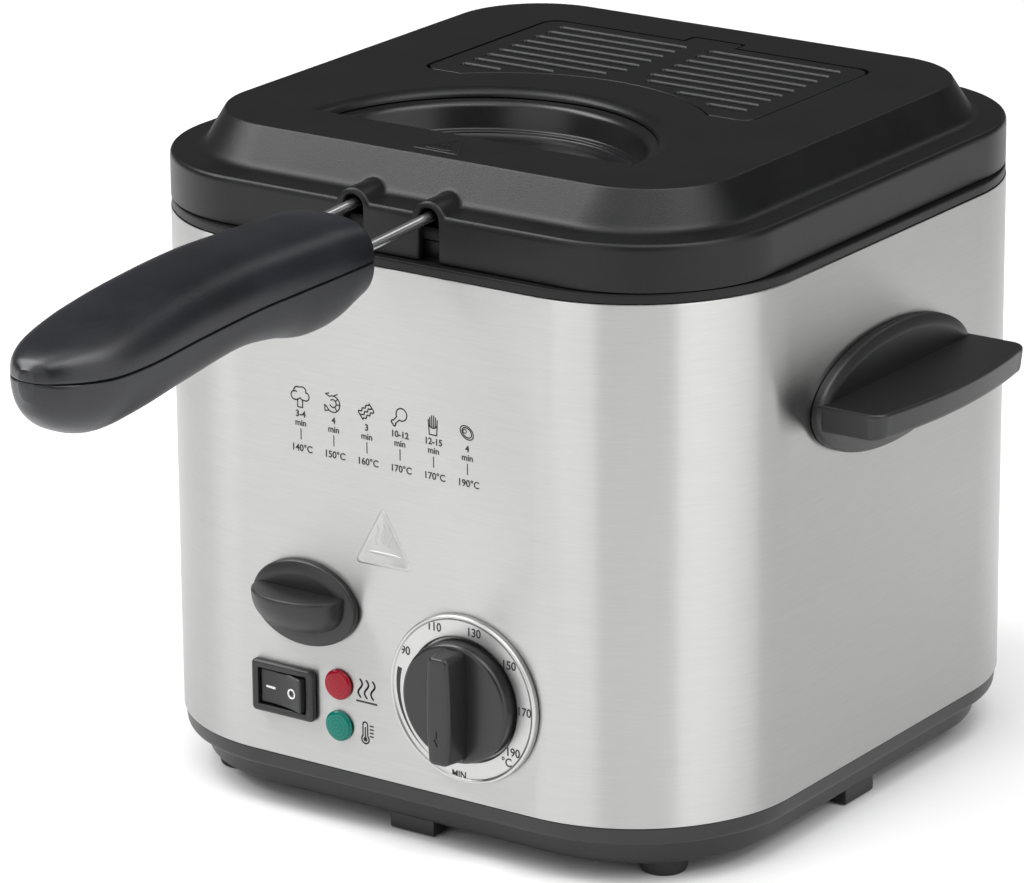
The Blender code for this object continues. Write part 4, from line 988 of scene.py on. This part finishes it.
def picture(lines, cx, cz, k=1.0, w=W, closed=()):
    loops = []
    for i, line in enumerate(lines):
        pts = [(x * k, z * k) for x, z in line]
        if i in closed:
            pts = pts + [pts[0], pts[1]]
        for p, q in zip(pts, pts[1:]):
            if abs(p[0] - q[0]) + abs(p[1] - q[1]) > 1e-6:
                loops.append(stroke([p, q], w))
        loops.extend(disc(x, z, w / 2, 8) for x, z in pts)
    printed.append(decal("pic", loops, (cx, FRONT, cz), INK))


def arc_pts(cx, cz, r, a0, a1, n=14, sz=1.0):
    return [(cx + r * cos(radians(a0 + (a1 - a0) * i / n)), cz + r * sz * sin(radians(a0 + (a1 - a0) * i / n))) for i in range(n + 1)]


# a floret, a shrimp, a strip, a leg, a carton of chips and a ring: simple line drawings
picture([arc_pts(-1.9, 0.3, 1.35, 60, 280, 10) + [(-0.9, -0.9)], arc_pts(-0.9, 1.7, 1.35, 190, 70, 8) + arc_pts(0.9, 1.9, 1.3, 110, -20, 8), arc_pts(2.0, 0.4, 1.3, 80, -110, 10) + [(0.9, -0.9)],
         [(-0.9, -0.7), (-0.9, -3.1), (0.9, -3.1), (0.9, -0.7)], [(-0.9, -1.0), (0.0, -0.2), (0.9, -1.0)]], -31.0, 133.3, w=0.4)
picture([arc_pts(0.0, 0.2, 2.5, 120, -150), arc_pts(0.0, 0.4, 1.2, 130, -150, 10), [(-2.1, -1.0), (-3.0, -0.4), (-2.9, -2.2), (-1.6, -1.9)], [(-1.2, 2.4), (-2.6, 3.0), (-1.4, 3.4)], [(0.2, 2.7), (1.6, 3.4)],
         [(0.9, 1.2), (1.8, 2.0)], [(1.2, 0.2), (2.5, 0.2)], [(0.7, -0.8), (1.5, -1.8)]], -19.1, 133.0)
wave = [(-2.5 + 5.0 * i / 20, 0.3 * sin(i * 0.95)) for i in range(21)]
tilt = radians(38)


def turn(points, dx, dz):
    return [((x + dx) * cos(tilt) - (z + dz) * sin(tilt), (x + dx) * sin(tilt) + (z + dz) * cos(tilt)) for x, z in points]


picture([turn(wave, 0, 1.3), turn(wave, 0, -1.3), turn(wave, 0, 0.0), turn([(-2.5, -1.3), (-2.5, 1.3)], 0, 0), turn([(2.5, -1.3), (2.5, 1.3)], 0, 0)], -7.2, 133.0)
picture([arc_pts(0.8, 0.9, 1.9, 205, -115, 24), [(-0.9, 0.1), (-2.1, -1.2)], [(0.0, -0.85), (-1.3, -2.0)], arc_pts(-2.35, -1.65, 0.5, 60, 270, 8), arc_pts(-1.75, -2.4, 0.5, 170, 400, 8)], 4.6, 133.4)
picture([[(-1.5, 0.2), (-1.3, -2.8), (1.3, -2.8), (1.5, 0.2)], arc_pts(0, 0.9, 1.66, 205, 335, 8), [(-1.5, 0.3), (-1.6, 1.6)], [(-1.0, -0.2), (-1.1, 2.3)], [(-0.4, -0.4), (-0.45, 2.9)], [(0.2, -0.4), (0.25, 3.0)],
         [(0.8, -0.3), (0.95, 2.5)], [(1.4, 0.2), (1.6, 1.8)]], 16.5, 133.0)
ring_shape = [(2.5 * cos(t) * cos(-0.6) - 1.8 * sin(t) * sin(-0.6), 2.5 * cos(t) * sin(-0.6) + 1.8 * sin(t) * cos(-0.6)) for t in (2 * pi * i / 32 for i in range(32))]
picture([ring_shape, [(x * 0.72, z * 0.72) for x, z in ring_shape]], 28.4, 133.0, closed=(0, 1), w=0.36)
picture([arc_pts(-0.75, 0.35, 0.6, 0, 330, 12)], 28.4, 133.0, w=0.3)

for x, minutes, degrees_c in ((-31.0, "3-4", "140"), (-19.1, "4", "150"), (-7.2, "3", "160"), (4.6, "10-12", "170"), (16.5, "12-15", "170"), (28.4, "4", "190")):
    printed.append(text(minutes, 2.75, (x + 0.1, 128.1), INK, bold=0.07, origin=(0, FRONT, 0)))
    printed.append(text("min", 2.75, (x + 0.1, 125.4), INK, bold=0.05, origin=(0, FRONT, 0)))
    printed.append(decal("tick", [stroke([(0, 1.7), (0, -1.7)], 0.34)], (x + 0.1, FRONT, 122.0), INK))
    printed.append(text(degrees_c + "\u00b0C", 2.95, (x + 0.4, 117.6), INK, bold=0.05, origin=(0, FRONT, 0)))

# beside the lamps: three wavy lines over a bar, and a thermometer
picture([[(dx + 0.75 * sin(k * 0.32), 3.3 - 5.6 * k / 20) for k in range(21)] for dx in (-2.3, 0.0, 2.3)] + [[(-3.6, -3.6), (3.6, -3.6)]], -8.7, 46.3, w=0.6)
picture([arc_pts(0, 2.5, 0.85, 0, 180, 8) + [(-0.85, -1.0)] + arc_pts(0, -2.1, 1.35, 130, 410, 16) + [(0.85, 2.5)], [(0, 1.6), (0, -1.9)], [(1.8, 2.4), (2.9, 2.4)], [(1.8, 1.3), (2.9, 1.3)], [(1.8, 0.2), (2.9, 0.2)], [(1.8, -0.9), (2.9, -0.9)]], -9.4, 33.1, w=0.48)
printed.append(decal("bulb", [disc(0, -2.1, 0.75)], (-9.4, FRONT, 33.1), INK))
put(merged("front_marks", printed), "housing", "black_plastic")


# embossed triangles: a raised rounded outline with three plain wavy ribs
def tri_points(corners, radius, steps=8):
    return [tuple(p) for p in soften(corners, radius, steps, closed=True)]


def emboss(name, corners, ribs, plane, mat, height=0.35):
    """A low pad with sloping edges, laid on a plane given by a function (u, v, h) -> point."""
    centre = np.mean(np.array(corners), axis=0)
    rings = []
    for shrink, h in ((1.0, -0.12), (1.0, 0.0), (0.975, height * 0.45), (0.945, height * 0.9), (0.91, height), (0.875, height * 0.9), (0.845, height * 0.5), (0.82, height * 0.3), (0.05, height * 0.25)):
        pts = tri_points(corners, 2.6)
        rings.append([plane(centre[0] + (x - centre[0]) * shrink, centre[1] + (z - centre[1]) * shrink, h) for x, z in pts])
    pad = skin(name, rings, mat, angle=60)
    bars = []
    for line in ribs:
        for k in range(1):
            rows = []
            for i, (x, z) in enumerate(line):
                a, b = line[max(0, i - 1)], line[min(len(line) - 1, i + 1)]
                d = Vector((b[0] - a[0], b[1] - a[1])).normalized()
                w = 0.42 * (0.35 + 0.65 * min(1.0, min(i, len(line) - 1 - i) / 2.0))
                rows.append([plane(x - d.y * w * cos(q), z + d.x * w * cos(q), height * 0.1 + height * 0.9 * sin(q)) for q in (pi * m / 8 for m in range(9))])
            bars.append(skin("rib", rows, mat, angle=60))
    return merged(name, [pad] + bars)


ribs = [[(-1.7 + dx + 0.55 * sin(k * 0.62), 99.4 - 6.0 * k / 10 - abs(dx) * 0.25) for k in range(11)] for dx in (-2.2, 0.0, 2.2)]
ribs.append([(-7.0 + 11.4 * k / 10, 90.4) for k in range(11)])
put(emboss("front_emblem", [(-1.6, 105.2), (-12.3, 86.1), (8.9, 86.6)], ribs, lambda u, v, h: (u, FRONT - h, v), STEEL, 0.2), "housing", "steel")
ribs = [[(dx + 0.35 * sin(k * 0.62), -72.0 - 4.2 * k / 10) for k in range(11)] for dx in (-1.7, 0.0, 1.7)]
ribs.append([(-4.5 + 9.0 * k / 10, -79.2) for k in range(11)])
put(emboss("lid_emblem", [(-0.1, -66.2), (-9.2, -81.2), (9.3, -81.6)], ribs, lambda u, v, h: (u, v, LID_TOP + h), LID, 0.3), "lid", "lid_plastic")

# =========================================================================================
# looks for the solids that stay as they are
# =========================================================================================
# painted shade: the top rim gets a darker colour than the other black mouldings, so the rim seen through the lid's
# slots reads as black as the shade in there
RIM_SHADE_DARKENED = plastic("rim_plastic_shade_darkened", (0.0035, 0.0035, 0.0037), 0.45, 0.00002, 2600.0, 0.1, specular=0.3)
bpy.data.objects["rim_visual"].data.materials.clear()
bpy.data.objects["rim_visual"].data.materials.append(RIM_SHADE_DARKENED)
CARRIED = {
    "heater_plate": ALU, "heating_element": SHEATH, "heat_shield": ALU, "thermostat_body": CERAMIC, "capillary_sensor": BRASS, "thermal_cutout": CERAMIC, "terminal_block": CERAMIC,
    "indicator_board": BOARD, "thermostat_shaft": BRASS, "handle_socket": CHROME, "filter_tray": BLACK, "grease_filter": ALU, "charcoal_filter": WOOL, "grip_screw": ZINC}
for key in NODES:
    if "screw" in key or "post" in key:
        CARRIED.setdefault(key, ZINC)
for key, look in CARRIED.items():
    obj = bpy.data.objects.get(key)
    if obj is not None:
        obj.data.materials.clear()
        obj.data.materials.append(look)

# =========================================================================================
# floor, light and camera
# =========================================================================================
AZ, EL, ROLL = 0.6070945512374364, 0.3191816139341338, -0.008243061816828219
U, DIST, TX, TZ = 104.38618511415477, 17.115138943450656, -0.28737090094143536, 0.6783954262181597
back = Vector((sin(AZ) * cos(EL), -cos(AZ) * cos(EL), sin(EL)))
right = Vector((cos(AZ), sin(AZ), 0.0))
up = back.cross(right)
c, s = cos(ROLL), sin(ROLL)
right, up = right * c + up * s, up * c - right * s
eye = (Vector((TX, 0.0, TZ)) + back * DIST) * U + Vector((0.0, 0.0, 19.5))
cam_data = bpy.data.cameras.new("camera")
cam_data.sensor_fit = "HORIZONTAL"
cam_data.sensor_width = 36.0
cam_data.lens = 5797.838829514863 * 36.0 / 1024.0
cam_data.clip_start, cam_data.clip_end = 0.01, 100.0
cam = bpy.data.objects.new("camera", cam_data)
cam.matrix_world = Matrix.Translation(Vector(P(eye))) @ Matrix((right, up, back)).transposed().to_4x4()
SC.collection.objects.link(cam)
SC.camera = cam

floor_mat = Nodes("floor")
floor_mat.set(Base_Color=floor_mat.ramp(floor_mat.noise(3.0), [(0.3, 0.90), (0.7, 0.91)]), Roughness=0.9)
floor_mat.shader.inputs["Specular IOR Level"].default_value = 0.1
floor_mat = floor_mat.mat
mesh = bpy.data.meshes.new("floor")
mesh.from_pydata([(-6, -6, 0), (6, -6, 0), (6, 9, 0), (-6, 9, 0)], [], [(0, 1, 2, 3)])
mesh.materials.append(floor_mat)
ground = bpy.data.objects.new("floor", mesh)
SC.collection.objects.link(ground)

world = bpy.data.worlds.new("world")
SC.world = world
world.use_nodes = True
world.node_tree.nodes["Background"].inputs["Color"].default_value = (1.0, 1.0, 1.0, 1.0)
world.node_tree.nodes["Background"].inputs["Strength"].default_value = 0.12


def soft_light(name, azimuth, elevation, distance, size, power, colour=(1.0, 1.0, 1.0), size_y=None, aim=(0.0, 0.0, 0.1)):
    """A rectangular softbox that looks at the fryer. Azimuth 0 is in front of it and grows towards its right side."""
    data = bpy.data.lights.new(name, "AREA")
    data.shape = "RECTANGLE"
    data.size, data.size_y = size, size_y or size
    data.energy, data.color = power, colour
    obj = bpy.data.objects.new(name, data)
    a, e = radians(azimuth), radians(elevation)
    target = Vector(aim)
    place = target + Vector((sin(a) * cos(e), -cos(a) * cos(e), sin(e))) * distance
    obj.matrix_world = Matrix.Translation(place) @ (target - place).to_track_quat("-Z", "Y").to_matrix().to_4x4()
    SC.collection.objects.link(obj)
    return obj


def panel(name, az0, az1, distance, z0, z1, radiance):
    """A tall softbox that fills the azimuths from az0 to az1 as the fryer sees them."""
    mid, half_angle = (az0 + az1) / 2, radians((az1 - az0) / 2)
    width, height = 2 * distance * sin(half_angle) / cos(half_angle), z1 - z0
    a = radians(mid)
    data = bpy.data.lights.new(name, "AREA")
    data.shape, data.size, data.size_y = "RECTANGLE", width, height
    data.energy = radiance * pi * width * height
    obj = bpy.data.objects.new(name, data)
    way = Vector((sin(a), -cos(a), 0.0))
    obj.matrix_world = Matrix.Translation(way * distance + Vector((0, 0, (z0 + z1) / 2))) @ (-way).to_track_quat("-Z", "Y").to_matrix().to_4x4()
    SC.collection.objects.link(obj)
    return obj


soft_light("top", 0, 76, 2.6, 3.2, 1.6 * pi * 3.2 * 3.2)
soft_light("key", -66, 47, 2.1, 0.9, 8.5 * pi * 0.9 * 1.5, size_y=1.5)
soft_light("front_top", 33, 64, 2.1, 0.8, 2.4 * pi * 0.8 * 0.8)
soft_light("fill", 88, 55, 2.1, 1.3, 4.2 * pi * 1.3 * 1.3)
soft_light("back", 172, 40, 2.2, 0.7, 1.2 * pi * 0.7 * 0.7)
panel("left_panel", -33, 11, 1.9, 0.05, 1.5, 1.5)
panel("right_panel", 60, 113, 1.9, 0.05, 1.5, 1.6)

SC.view_settings.view_transform = "Standard"
SC.view_settings.look = "None"
SC.view_settings.exposure = 0.0
SC.view_settings.gamma = 1.0
